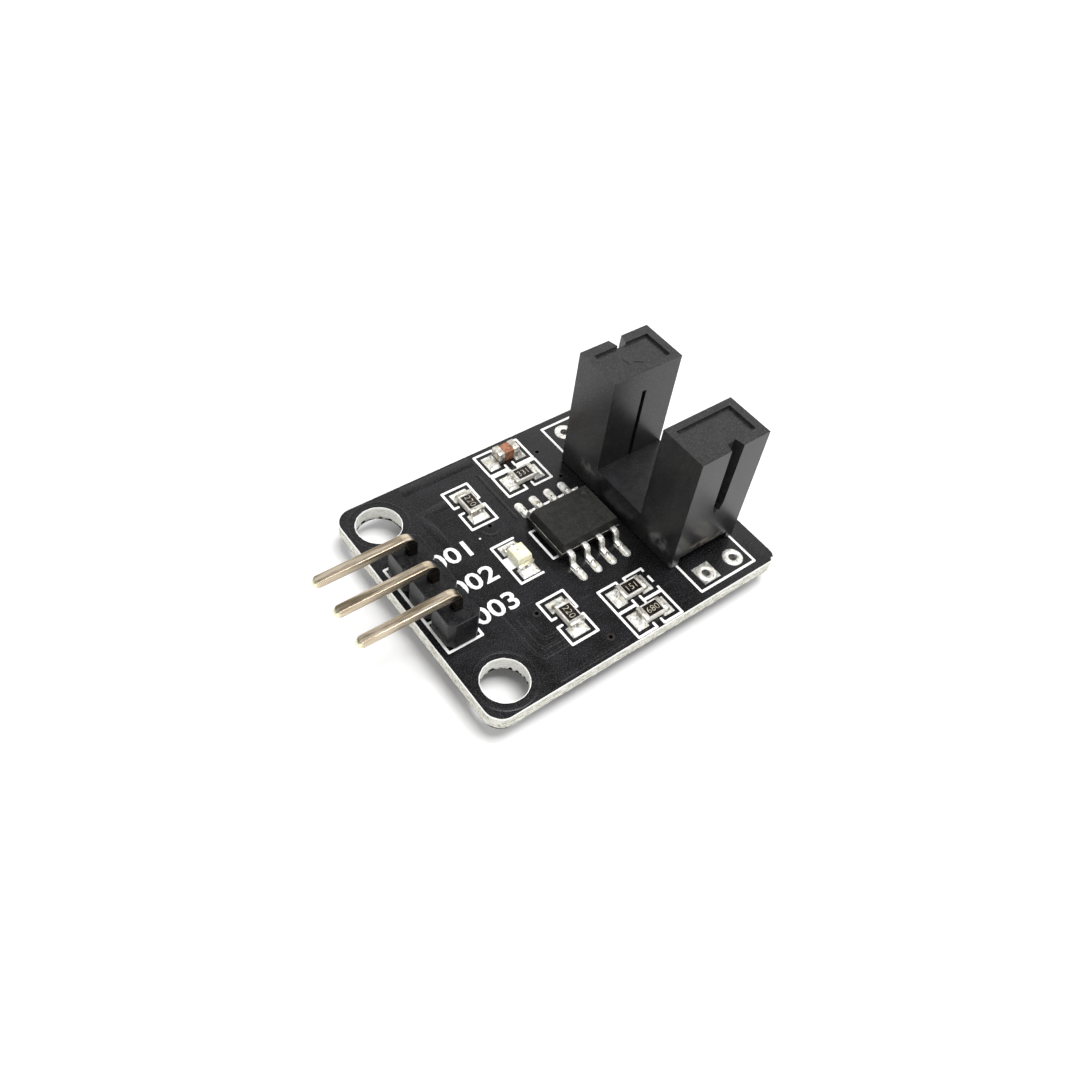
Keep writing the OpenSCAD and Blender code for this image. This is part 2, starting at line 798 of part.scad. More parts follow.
// A fillet of solder from the end of a chip down to its pad
module end_joint(chip_l, chip_w, h) {
    reach = pad_out - 0.12;
    rotate([90, 0, 0]) linear_extrude(chip_w, center = true) polygon([
        [chip_l / 2, 0],
        [reach, 0],
        [(chip_l / 2 + reach) / 2, h * 0.3],
        [chip_l / 2, h]
    ]);
}

module chip_joints() color([0.80, 0.80, 0.79]) placed() {
    for (chip = RESISTORS) at_chip(chip) both_ends() end_joint(resistor_l, resistor_w, joint_h);
    at_chip(CAPACITOR) both_ends() end_joint(capacitor_l, capacitor_w, joint_h * 1.5);
    at_chip(INDICATOR) both_ends()
        end_joint(indicator_l, indicator_w - 2 * notch_r, indicator_base_h * 0.9);
}

board();
mask_top();
mask_bottom();
printed_outlines();
vias();
header_plated_holes();
sensor_plated_holes();
spare_plated_holes();
comparator_pads();
chip_pads();
header_insulator();
for (i = [1:3]) header_pin(i);
header_joints();
sensor_housing();
emitter_package();
detector_package();
for (i = [1:2]) sensor_lead(1, i);
for (i = [1:2]) sensor_lead(-1, i);
sensor_joints();
comparator_body();
for (i = [1:8]) comparator_lead(i);
comparator_joints();
for (i = [1:5]) resistor_body(i);
for (i = [1:5]) resistor_overcoat(i);
for (i = [1:5]) resistor_terminals(i);
capacitor_body();
capacitor_terminals();
indicator_base();
indicator_terminals();
indicator_die();
indicator_lens();
chip_joints();
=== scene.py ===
"""Looks of a slotted through-beam sensor module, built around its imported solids.

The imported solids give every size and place. This script dresses them with procedural finishes,
gives the moulded and metal pieces their softened edges, and adds what the solids leave out:
the rough cut laminate, the tracks that show through the mask, the numbers printed on the board
and on the resistors, and the solder.

Lengths in the classes are millimetres in the board's frame: x from the header edge, y from the
near long edge, z up from the top of the board. Meshes are in metres in the row frame.
"""

import json
import logging
import math
from collections.abc import Callable, Sequence
from dataclasses import dataclass, field
from enum import Enum
from functools import cache

import bmesh
import bpy
from mathutils import Matrix, Quaternion, Vector, noise


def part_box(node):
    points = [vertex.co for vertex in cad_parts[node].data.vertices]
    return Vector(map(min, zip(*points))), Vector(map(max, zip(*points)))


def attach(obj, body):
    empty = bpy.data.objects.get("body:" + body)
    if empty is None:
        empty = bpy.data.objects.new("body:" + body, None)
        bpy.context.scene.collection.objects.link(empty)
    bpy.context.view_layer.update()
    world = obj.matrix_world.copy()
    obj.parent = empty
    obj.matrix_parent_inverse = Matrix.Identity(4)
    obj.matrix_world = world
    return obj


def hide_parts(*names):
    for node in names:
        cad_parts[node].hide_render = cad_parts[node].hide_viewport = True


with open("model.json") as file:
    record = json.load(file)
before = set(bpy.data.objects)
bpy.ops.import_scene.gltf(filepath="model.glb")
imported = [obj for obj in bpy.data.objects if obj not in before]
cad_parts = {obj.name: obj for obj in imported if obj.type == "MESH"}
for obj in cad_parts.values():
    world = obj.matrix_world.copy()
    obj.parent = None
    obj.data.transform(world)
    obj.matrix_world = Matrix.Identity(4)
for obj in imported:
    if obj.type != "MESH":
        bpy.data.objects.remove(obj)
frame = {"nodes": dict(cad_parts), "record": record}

LOG = logging.getLogger("module")
MM = 0.001
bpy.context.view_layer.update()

Colour = tuple[float, float, float]
Point = tuple[float, float]
Spot = tuple[float, float, float]
Socket = bpy.types.NodeSocket
Mesh = bpy.types.Mesh
Grid = bmesh.types.BMesh

# Points nearer to each other than this are one, in metres.
TOUCHING = 1e-7
# The Mix node's sockets for colours, which share their names with others.
MIX_SHARE, MIX_LOW, MIX_HIGH, MIX_RESULT = 0, 6, 7, 2
# Octaves of the noise behind the colour patches and behind the fine relief.
PATCH_DETAIL, FINE_DETAIL = 3.0, 4.0


class Slot(Enum):
    """The record's material slots."""

    LAMINATE = "laminate"
    MASK = "solder_mask"
    INK = "white_ink"
    PLASTIC = "header_plastic"
    PIN = "pin_plate"
    SOLDER = "solder"
    HOUSING = "housing_plastic"
    MOULD = "mould_compound"
    LEAD = "lead_tin"
    ALUMINA = "alumina"
    OVERCOAT = "overcoat"
    TERMINAL = "terminal_tin"
    GOLD = "terminal_gold"
    CAPACITOR = "capacitor_ceramic"
    SUBSTRATE = "indicator_substrate"
    LENS = "indicator_resin"


class Grain(Enum):
    """Which way the marks of a surface run, as stretches of its pattern along x, y and z."""

    EVEN = (1.0, 1.0, 1.0)
    ALONG_X = (0.08, 1.0, 1.0)
    LAYERED = (0.35, 0.35, 3.5)
    UPRIGHT = (1.0, 1.0, 0.3)


class Cut(Enum):
    """What a wall of the board bounds: 1 where it is torn away from its middle, -1 towards it."""

    EDGE = -1
    PLATED_HOLE = 0
    BARE_HOLE = 1


class Graph:
    """Adds nodes to one node tree and links them."""

    def __init__(self, tree: bpy.types.NodeTree) -> None:
        """Takes the tree that the nodes go into.

        Args:
            tree: The node tree to fill.
        """
        self.tree = tree

    def add(self, kind: str, inputs: dict | None = None, **settings: object) -> bpy.types.Node:
        """Adds one node.

        Args:
            kind: The node's type name.
            inputs: Values or output sockets for its inputs, by name or index.
            **settings: Properties of the node itself.

        Returns:
            The new node.
        """
        node = self.tree.nodes.new(kind)
        for key, value in settings.items():
            setattr(node, key, value)
        for key, value in (inputs or {}).items():
            socket = node.inputs[key]
            if isinstance(value, Socket):
                self.tree.links.new(value, socket)
            else:
                socket.default_value = value
        return node

    def math(self, operation: str, *values: object) -> Socket:
        """Adds one sum.

        Args:
            operation: The Math node's operation.
            *values: Numbers or sockets.

        Returns:
            The output socket.
        """
        node = self.add("ShaderNodeMath", dict(enumerate(values)), operation=operation)
        return node.outputs[0]

    def blend(self, share: object, low: object, high: object) -> Socket:
        """Mixes two colours.

        Args:
            share: How much of the second colour, a number or a socket.
            low: The first colour or socket.
            high: The second colour or socket.

        Returns:
            The mixed colour's socket.
        """
        low, high = ((*value, 1.0) if isinstance(value, tuple) else value for value in (low, high))
        node = self.add("ShaderNodeMix", {MIX_SHARE: share, MIX_LOW: low, MIX_HIGH: high}, data_type="RGBA")
        return node.outputs[MIX_RESULT]

    def span(self, value: object, low: float, high: float, to_low: float, to_high: float) -> Socket:
        """Maps a value from one range to another, smoothly and clamped.

        Args:
            value: The socket to map.
            low: Where the first range starts.
            high: Where the first range ends.
            to_low: What low becomes.
            to_high: What high becomes.

        Returns:
            The mapped value's socket.
        """
        node = self.add(
            "ShaderNodeMapRange",
            {0: value, 1: low, 2: high, 3: to_low, 4: to_high},
            interpolation_type="SMOOTHSTEP",
        )
        return node.outputs[0]

    def cloud(self, place: Socket, size: float, detail: float) -> Socket:
        """Adds a noise texture.

        Args:
            place: The position in millimetres.
            size: Size of its features, in millimetres.
            detail: How many finer octaves it has.

        Returns:
            The noise's value.
        """
        texture = self.add("ShaderNodeTexNoise", {"Vector": place, "Scale": 1 / size, "Detail": detail})
        return texture.outputs[0]

    def cells(self, place: Socket, density: float) -> Socket:
        """Adds a texture of scattered points.

        Args:
            place: The position in millimetres.
            density: How many points lie along a millimetre.

        Returns:
            The distance from the nearest point, as a share of their spacing.
        """
        texture = self.add("ShaderNodeTexVoronoi", {"Vector": place, "Scale": density})
        return texture.outputs["Distance"]


@dataclass(frozen=True)
class BoardFrame:
    """The board's own frame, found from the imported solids.

    Attributes:
        corner: The low corner of the board at the level of its top, in the row frame, in metres.
        size: The board's length, width and thickness, in millimetres.
    """

    corner: Vector
    size: Vector

    @classmethod
    def found(cls) -> "BoardFrame":
        """Reads the frame from the laminate and the two mask films.

        Returns:
            The board's frame.
        """
        low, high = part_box("board")
        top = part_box("mask_top")[1].z
        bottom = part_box("mask_bottom")[0].z
        size = Vector((high.x - low.x, high.y - low.y, top - bottom)) / MM
        return cls(Vector((low.x, low.y, top)), size)

    def at(self, x: float, y: float, z: float = 0.0) -> Vector:
        """Gives the row-frame point, in metres, of a point in the board's frame, in millimetres."""
        return self.corner + Vector((x, y, z)) * MM

    def local(self, point: Vector) -> Vector:
        """Gives the board-frame point, in millimetres, of a row-frame point in metres."""
        return (point - self.corner) / MM

    def box(self, node: str) -> tuple[Vector, Vector]:
        """Gives a node's lowest and highest corners in the board's frame."""
        low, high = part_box(node)
        return self.local(low), self.local(high)

    def mounting_holes(self) -> tuple[list[Point], float]:
        """Reads the two mounting holes from the record.

        Returns:
            Their middles, the near one first, and their radius.
        """
        mount = next(m for m in frame["record"]["mounts"] if m["name"] == "mounting_holes")
        middle = self.local(Vector(mount["pos_m"]))
        half = mount["dims"]["spacing_y_mm"] / 2
        return [(middle.x, middle.y + side * half) for side in (-1, 1)], mount["dims"]["hole_r_mm"]


BOARD = BoardFrame.found()


@dataclass(frozen=True)
class Ground:
    """What a finish draws with.

    Attributes:
        graph: The material's graph.
        place: The position in millimetres, in the row frame.
        patches: The coarse noise.
        fine: The fine noise.
    """

    graph: Graph
    place: Socket
    patches: Socket
    fine: Socket

    def axis(self, name: str) -> Socket:
        """Gives the position along one axis of the board's frame.

        Args:
            name: The axis: X, Y or Z.

        Returns:
            The position's socket, in millimetres.
        """
        corner = tuple(BOARD.corner / MM)
        local = self.graph.add("ShaderNodeVectorMath", {0: self.place, 1: corner}, operation="SUBTRACT")
        return self.graph.add("ShaderNodeSeparateXYZ", {0: local.outputs[0]}).outputs[name]

    def away(self, spot: Spot) -> Socket:
        """Gives the distance from a spot.

        Args:
            spot: The spot.

        Returns:
            The distance's socket.
        """
        middle = tuple(BOARD.at(*spot) / MM)
        gap = self.graph.add("ShaderNodeVectorMath", {0: self.place, 1: middle}, operation="DISTANCE")
        return gap.outputs["Value"]


@dataclass(frozen=True)
class Zone:
    """A colour that fades in or out along a measure, such as a height or a distance.

    Attributes:
        start: Where the fading starts.
        end: Where it ends.
        at_start: How strongly the colour shows before the start.
        at_end: How strongly it shows past the end.
        colour: The colour.
    """

    start: float
    end: float
    at_start: float
    at_end: float
    colour: Colour

    def shown(self, graph: Graph, measure: Socket) -> Socket:
        """Gives how strongly the colour shows at a measure."""
        return graph.span(measure, self.start, self.end, self.at_start, self.at_end)


@dataclass(frozen=True)
class Blotch:
    """Patches of a colour, which show where a noise is high.

    Attributes:
        size: Size of the patches.
        start: Value of the noise at which they start.
        full: Value at which they show in full.
        strength: How strongly they show there.
        colour: Their colour.
        detail: How many finer octaves their outlines have.
    """

    size: float
    start: float
    full: float
    strength: float
    colour: Colour
    detail: float = 2.0

    def shown(self, graph: Graph, place: Socket) -> Socket:
        """Gives how strongly the patches show at a place."""
        cloud = graph.cloud(place, self.size, self.detail)
        return graph.span(cloud, self.start, self.full, 0.0, self.strength)


@dataclass
class Look:
    """What a finish gives its shader, built up from colours laid over each other.

    Attributes:
        ground: What the finish draws with.
        colour: The colour's socket.
        rough: The roughness's socket.
        height: The socket of the fine relief.
    """

    ground: Ground
    colour: Socket
    rough: Socket
    height: Socket

    def lay(self, share: Socket, colour: Colour) -> None:
        """Lays a colour over the present one, as strongly as share says."""
        self.colour = self.ground.graph.blend(share, self.colour, colour)

    def fade(self, measure: Socket, zone: Zone) -> None:
        """Lays a zone's colour over the present one along a measure."""
        self.lay(zone.shown(self.ground.graph, measure), zone.colour)

    def blot(self, blotch: Blotch) -> None:
        """Lays a blotch's colour over the present one."""
        self.lay(blotch.shown(self.ground.graph, self.ground.place), blotch.colour)


@dataclass(frozen=True)
class Finish:
    """A surface finish whose colour, roughness and relief vary by noise at the surface's own scale.

    Attributes:
        name: The material's name.
        dark: The darker colour of the surface.
        light: The lighter colour of the surface.
        patch: Size of the colour patches.
        grain: Size of the fine relief.
        relief: Depth of the fine relief.
        rough: Lowest and highest roughness.
        run: Which way the marks run.
        metallic: 1 for a metal.
        specular: Strength of the surface reflection.
        coat: Strength of a clear coat.
        coat_rough: Roughness of the coat.
        scatter: How far light scatters inside, as a weight.
        scatter_reach: How far it gets.
        blotches: Patches of other colours, laid on in turn.
    """

    name: str
    dark: Colour
    light: Colour
    patch: float = 1.0
    grain: float = 0.1
    relief: float = 0.004
    rough: Point = (0.4, 0.6)
    run: Grain = Grain.EVEN
    metallic: float = 0.0
    specular: float = 0.5
    coat: float = 0.0
    coat_rough: float = 0.12
    scatter: float = 0.0
    scatter_reach: float = 0.5
    blotches: tuple[Blotch, ...] = ()

    @cache
    def build(self) -> bpy.types.Material:
        """Makes the material once and gives the same one after that.

        Returns:
            The material.
        """
        material = bpy.data.materials.new(self.name)
        material.use_nodes = True
        material.node_tree.nodes.clear()
        graph = Graph(material.node_tree)
        position = graph.add("ShaderNodeTexCoord").outputs["Object"]
        scaled = graph.add("ShaderNodeVectorMath", {0: position, "Scale": 1 / MM}, operation="SCALE")
        place = scaled.outputs[0]
        drawn = graph.add("ShaderNodeMapping", {"Vector": place, "Scale": self.run.value}).outputs[0]
        patches = graph.cloud(drawn, self.patch, PATCH_DETAIL)
        fine = graph.cloud(drawn, self.grain, FINE_DETAIL)
        look = self.surface(Ground(graph, place, patches, fine))
        depth = self.relief * MM
        bump = graph.add("ShaderNodeBump", {"Strength": 1.0, "Distance": depth, "Height": look.height})
        shader = graph.add("ShaderNodeBsdfPrincipled", {
            "Base Color": look.colour,
            "Roughness": look.rough,
            "Normal": bump.outputs[0],
            "Metallic": self.metallic,
            "Specular IOR Level": self.specular,
            "Coat Weight": self.coat,
            "Coat Roughness": self.coat_rough,
            "Subsurface Weight": self.scatter,
            "Subsurface Radius": (1.0, 0.8, 0.4),
            "Subsurface Scale": self.scatter_reach * MM,
        })
        graph.add("ShaderNodeOutputMaterial", {"Surface": shader.outputs[0]})
        return material

    def surface(self, ground: Ground) -> Look:
        """Works out the colour, roughness and relief of the surface.

        Args:
            ground: What the finish draws with.

        Returns:
            What the shader gets.
        """
        graph = ground.graph
        share = graph.span(ground.patches, 0.35, 0.65, 0.0, 1.0)
        half_fine = graph.math("MULTIPLY", ground.fine, 0.5)
        mixed = graph.math("MULTIPLY_ADD", ground.patches, 0.5, half_fine)
        rough = graph.span(mixed, 0.3, 0.7, *self.rough)
        look = Look(ground, graph.blend(share, self.dark, self.light), rough, ground.fine)
        for blotch in self.blotches:
            look.blot(blotch)
        return look


@dataclass(frozen=True)
class LaminateFinish(Finish):
    """Cut glass-fibre laminate: pale layers, torn white along the top, with painted shade along the bottom.

    Attributes:
        fibre_density: How many fibre ends lie along a millimetre.
        fibres: Their colour, by the distance from a fibre's middle.
        fibre_relief: How much they add to the fine relief.
        pits: The brownish pits between them.
        drilled: The white of the mounting holes' walls, by the distance from a hole's middle.
        torn: The white of the torn upper part, by the height over the board's top.
        painted_bottom_shade: Painted shade on the lower part, darker towards the bottom, by the height over
            its bottom.
    """

    fibre_density: float = 8.0
    fibres: Zone = Zone(0.0, 0.4, 0.8, 0.0, (0.97, 0.96, 0.91))
    fibre_relief: float = 0.6
    pits: Blotch = Blotch(0.16, 0.53, 0.68, 0.7, (0.24, 0.23, 0.16))
    drilled: Zone = Zone(1.80, 1.85, 0.55, 0.0, (0.98, 0.98, 0.96))
    torn: Zone = Zone(-0.22, -0.06, 0.0, 0.75, (0.97, 0.97, 0.93))
    # Painted shade: darkens the lower part of every cut wall.
    painted_bottom_shade: Zone = Zone(0.05, 0.35, 0.55, 0.0, (0.26, 0.25, 0.18))

    def surface(self, ground: Ground) -> Look:
        """Adds the fibre ends, the pits, the white walls of the holes, the torn top rim and the painted shade
        along the bottom.

        Args:
            ground: What the finish draws with.

        Returns:
            What the shader gets.
        """
        graph = ground.graph
        look = super().surface(ground)
        fibres = graph.cells(ground.place, self.fibre_density)
        look.fade(fibres, self.fibres)
        look.blot(self.pits)
        look.fade(self.from_hole(ground), self.drilled)
        level = ground.axis("Z")
        look.fade(level, self.torn)
        # Painted shade, darker towards the bottom of the walls.
        look.fade(graph.math("ADD", level, BOARD.size.z), self.painted_bottom_shade)
        look.height = graph.math("MULTIPLY_ADD", fibres, self.fibre_relief, look.height)
        return look

    def from_hole(self, ground: Ground) -> Socket:
        """Measures the distance from the axis of the nearer mounting hole.

        Args:
            ground: The graph and the position.

        Returns:
            The distance's socket.
        """
        graph = ground.graph
        far_hole = BOARD.mounting_holes()[0][1]
        middle = BOARD.size.y / 2
        along = graph.math("SUBTRACT", ground.axis("X"), far_hole[0])
        off_middle = graph.math("ABSOLUTE", graph.math("SUBTRACT", ground.axis("Y"), middle))
        across = graph.math("SUBTRACT", off_middle, far_hole[1] - middle)
        squares = graph.math("MULTIPLY_ADD", along, along, graph.math("MULTIPLY", across, across))
        return graph.math("SQRT", squares)


@dataclass(frozen=True)
class MaskFinish(Finish):
    """Black solder mask: a thin glossy film with a few pale dust specks and fine scuffs.

    Attributes:
        dust_density: How many dust specks lie along a millimetre.
        dust: Their colour, by the distance from a speck's middle.
        scuff_turn: Which way the scuffs run, in degrees.
        scuff_stretch: How their pattern is drawn out.
        scuffs: The scuffs, by how much rougher they are.
        scuff_tint: How strongly their colour shows, as a share of that.
    """

    dust_density: float = 1.3
    dust: Zone = Zone(0.02, 0.045, 0.3, 0.0, (0.30, 0.30, 0.30))
    scuff_turn: float = 35.0
    scuff_stretch: Spot = (0.35, 5.0, 1.0)
    scuffs: Blotch = Blotch(0.9, 0.70, 0.80, 0.15, (0.20, 0.20, 0.20))
    scuff_tint: float = 0.1

    def surface(self, ground: Ground) -> Look:
        """Adds dust specks and long faint scuffs to the plain film.

        Args:
            ground: What the finish draws with.

        Returns:
            What the shader gets.
        """
        graph = ground.graph
        look = super().surface(ground)
        look.fade(graph.cells(ground.place, self.dust_density), self.dust)
        turn = (0.0, 0.0, math.radians(self.scuff_turn))
        drawn_out = graph.add(
            "ShaderNodeMapping", {"Vector": ground.place, "Rotation": turn, "Scale": self.scuff_stretch}
        )
        scuffs = self.scuffs.shown(graph, drawn_out.outputs[0])
        look.lay(graph.math("MULTIPLY", scuffs, self.scuff_tint), self.scuffs.colour)
        look.rough = graph.math("ADD", look.rough, scuffs)
        return look


@dataclass(frozen=True)
class InkFinish(Finish):
    """White printed ink, a little thin and worn in places.

    Attributes:
        blotches: Where the ink is thin.
        dot: Middle of the small printed dot.
        dot_reach: Radius round it within which nothing else is printed.
        worn: The film that shows round what is left of the dot, by the distance from its middle.
    """

    blotches: tuple[Blotch, ...] = (Blotch(0.12, 0.68, 0.8, 0.5, (0.25, 0.25, 0.26), 3.0),)
    dot: Spot = (7.45, 12.35, 0.0)
    dot_reach: float = 0.2
    worn: Zone = Zone(0.056, 0.091, 0.0, 1.0, (0.01, 0.01, 0.01))

    def surface(self, ground: Ground) -> Look:
        """Lets the dark film show through round the worn dot.

        Args:
            ground: What the finish draws with.

        Returns:
            What the shader gets.
        """
        graph = ground.graph
        look = super().surface(ground)
        away = ground.away(self.dot)
        near = graph.math("LESS_THAN", away, self.dot_reach)
        look.lay(graph.math("MULTIPLY", self.worn.shown(graph, away), near), self.worn.colour)
        return look


@dataclass(frozen=True)
class Mark:
    """A soft-edged mark on a moulding.

    Attributes:
        centre: Its middle.
        reach: Half its size along its own three axes.
        colour: Its colour.
        strength: How strongly it shows at its middle.
        turn: How far its axes are turned about z, in degrees.
        broken: How strongly noise breaks it up, from 0 to 1.
        cut: How deep it is cut in.
        dull: How much rougher its middle is.
    """

    centre: Spot
    reach: Spot
    colour: Colour
    strength: float = 0.6
    turn: float = 0.0
    broken: float = 1.0
    cut: float = 0.0
    dull: float = 0.3


@dataclass(frozen=True)
class HousingFinish(Finish):
    """Moulded black plastic: satin, with flow marks, dust specks, smears and rubbed spots.

    Attributes:
        marks: The smears and spots.
        heart: How much of a mark's reach shows it in full.
        breaks: The noise that breaks the marks up, used without its colour.
        dust_density: How many dust specks lie along a millimetre.
        dust: Their colour, by the distance from a speck's middle.
    """

    marks: tuple[Mark, ...] = ()
    heart: float = 0.35
    breaks: Blotch = Blotch(0.55, 0.38, 0.66, 1.0, (0.0, 0.0, 0.0), 4.0)
    dust_density: float = 1.7
    dust: Zone = Zone(0.02, 0.055, 0.35, 0.0, (0.34, 0.34, 0.34))

    def surface(self, ground: Ground) -> Look:
        """Adds the marks where they lie, and then the specks.

        Args:
            ground: What the finish draws with.

        Returns:
            What the shader gets.
        """
        graph = ground.graph
        look = super().surface(ground)
        breaks = self.breaks.shown(graph, ground.place)
        for mark in self.marks:
            near = self.near(ground, mark)
            cover = graph.math("MULTIPLY_ADD", breaks, mark.broken, 1 - mark.broken)
            share = graph.math("MULTIPLY", near, cover)
            look.lay(share, mark.colour)
            look.rough = graph.math("MULTIPLY_ADD", share, mark.dull, look.rough)
            if mark.cut:
                look.height = graph.math("MULTIPLY_ADD", near, -mark.cut / self.relief, look.height)
        look.fade(graph.cells(ground.place, self.dust_density), self.dust)
        return look

    def near(self, ground: Ground, mark: Mark) -> Socket:
        """Gives how strongly a mark shows before noise breaks it up.

        Args:
            ground: The graph and the position.
            mark: The mark.

        Returns:
            The strength's socket.
        """
        turned = (0.0, 0.0, math.radians(mark.turn))
        centre = tuple(BOARD.at(*mark.centre) / MM)
        inside = ground.graph.add(
            "ShaderNodeMapping",
            {"Vector": ground.place, "Location": centre, "Rotation": turned, "Scale": mark.reach},
            vector_type="TEXTURE",
        )
        away = ground.graph.add("ShaderNodeVectorMath", {0: inside.outputs[0]}, operation="LENGTH")
        return ground.graph.span(away.outputs["Value"], self.heart, 1.0, mark.strength, 0.0)


@dataclass(frozen=True)
class PlatingFinish(Finish):
    """Pale plating on the pins, with painted shade on the legs below the arms and on the sides of the bends,
    and a painted highlight on the cut tips.

    Attributes:
        leg: Heights over the board between which the painted shade on the legs ends.
        side: Heights between which the painted shade on the sides of the bends ends.
        bend: Distances from the board's header edge between which the bends start.
        above: Heights between which the painted shade starts; the tails below them stay bright.
        leg_shade: Colour of the painted shade on the legs and the sides of the bends.
        leg_shade_strength: How strongly the painted shade shows.
        tip: Painted highlight on the cut tips, by the distance from the board's header edge.
    """

    leg: Point = (3.45, 3.8)
    side: Point = (3.96, 4.18)
    bend: Point = (1.0, 1.5)
    above: Point = (-1.0, -0.5)
    # Painted shade of the legs and of the sides of the bends.
    leg_shade: Colour = (0.024, 0.018, 0.015)
    leg_shade_strength: float = 0.9
    # Painted highlight: the cut tips are lightened in colour.
    tip: Zone = Zone(-4.98, -4.7, 0.75, 0.0, (0.92, 0.90, 0.66))

    def surface(self, ground: Ground) -> Look:
        """Paints a highlight on the cut tips, and paints shade on the legs and the sides of the bends.

        Args:
            ground: What the finish draws with.

        Returns:
            What the shader gets.
        """
        graph = ground.graph
        look = super().surface(ground)
        along = ground.axis("X")
        level = ground.axis("Z")
        leg = graph.span(level, *self.leg, 1.0, 0.0)
        side = graph.span(level, *self.side, 1.0, 0.0)
        bend = graph.span(along, *self.bend, 0.0, 1.0)
        above = graph.span(level, *self.above, 0.0, 1.0)
        # dull masks the painted shade on the legs and on the sides of the bends.
        dull = graph.math("MAXIMUM", leg, graph.math("MULTIPLY", side, bend))
        dull = graph.math("MULTIPLY", dull, above)
        look.lay(graph.math("MULTIPLY", dull, self.leg_shade_strength), self.leg_shade)
        # Painted highlight on the cut tips.
        look.fade(along, self.tip)
        return look


@dataclass(frozen=True)
class SolderFinish(Finish):
    """Bright solder with yellowish flux residue, a few dark pits, and painted shade on its crests.

    Attributes:
        blotches: The flux residue, and the dark pits.
        crest: Heights over the board between which the painted shade starts.
        crest_shade: Patches of painted shadow and dark reflection where the solder climbs the chips.
    """

    blotches: tuple[Blotch, ...] = (
        Blotch(0.4, 0.5, 0.68, 0.5, (0.72, 0.65, 0.42)),
        Blotch(0.17, 0.62, 0.72, 0.75, (0.06, 0.055, 0.045)),
    )
    crest: Point = (0.14, 0.26)
    # Painted shadow and dark reflection on the solder where it climbs the chips.
    crest_shade: Blotch = Blotch(0.35, 0.42, 0.56, 0.85, (0.09, 0.075, 0.05))

    def surface(self, ground: Ground) -> Look:
        """Paints patches of shade on the crests, over the residue and the pits.

        Args:
            ground: What the finish draws with.

        Returns:
            What the shader gets.
        """
        graph = ground.graph
        look = super().surface(ground)
        # Painted shade on the crests of the solder.
        crest = graph.span(ground.axis("Z"), *self.crest, 0.0, 1.0)
        crest_shade = self.crest_shade.shown(graph, ground.place)
        look.lay(graph.math("MULTIPLY", crest, crest_shade), self.crest_shade.colour)
        return look


@dataclass(frozen=True)
class LensFinish(Finish):
    """Milky resin over a lit chip, with one dark fleck where the chip's bond shows.

    Attributes:
        fleck: Where the fleck is.
        bond: The fleck's colour, by the distance from its middle.
    """

    fleck: Spot = (0.0, 0.0, 0.0)
    bond: Zone = Zone(0.042, 0.091, 0.85, 0.0, (0.20, 0.17, 0.10))

    def surface(self, ground: Ground) -> Look:
        """Adds the fleck.

        Args:
            ground: What the finish draws with.

        Returns:
            What the shader gets.
        """
        look = super().surface(ground)
        look.fade(ground.away(self.fleck), self.bond)
        return look


def grit(strength: float, colour: Colour) -> tuple[Blotch, ...]:
    """Gives the fine pale grains that show in a black surface."""
    return (Blotch(0.075, 0.5, 0.72, strength, colour, 3.0),)


# Smears and rubbed spots along the foot of the posts, and the forked scratch on the far post's top.
SENSOR_MARKS = (
    Mark((19.6, 3.27, 1.2), (2.1, 0.3, 0.6), (0.20, 0.18, 0.14), 0.6),
    Mark((17.1, 3.27, 0.4), (0.6, 0.4, 0.7), (0.32, 0.31, 0.30), 0.55),
    Mark((18.3, 3.27, 0.6), (1.0, 0.3, 0.5), (0.24, 0.23, 0.21), 0.45),
    Mark((16.8, 4.9, 1.5), (0.3, 1.5, 0.9), (0.26, 0.26, 0.25), 0.40),
    Mark((16.8, 12.6, 1.7), (0.3, 1.1, 0.8), (0.24, 0.24, 0.23), 0.35),
    Mark((16.8, 9.4, 0.8), (0.3, 1.7, 0.5), (0.12, 0.12, 0.12), 0.40),
    Mark((19.77, 12.8, 9.9), (0.62, 0.08, 0.6), (0.001, 0.001, 0.001), 0.95, -30.0, 0.1, 0.08, 0.7),
    Mark((19.03, 13.2, 9.9), (0.55, 0.07, 0.6), (0.001, 0.001, 0.001), 0.9, -82.0, 0.2, 0.06, 0.7),
)


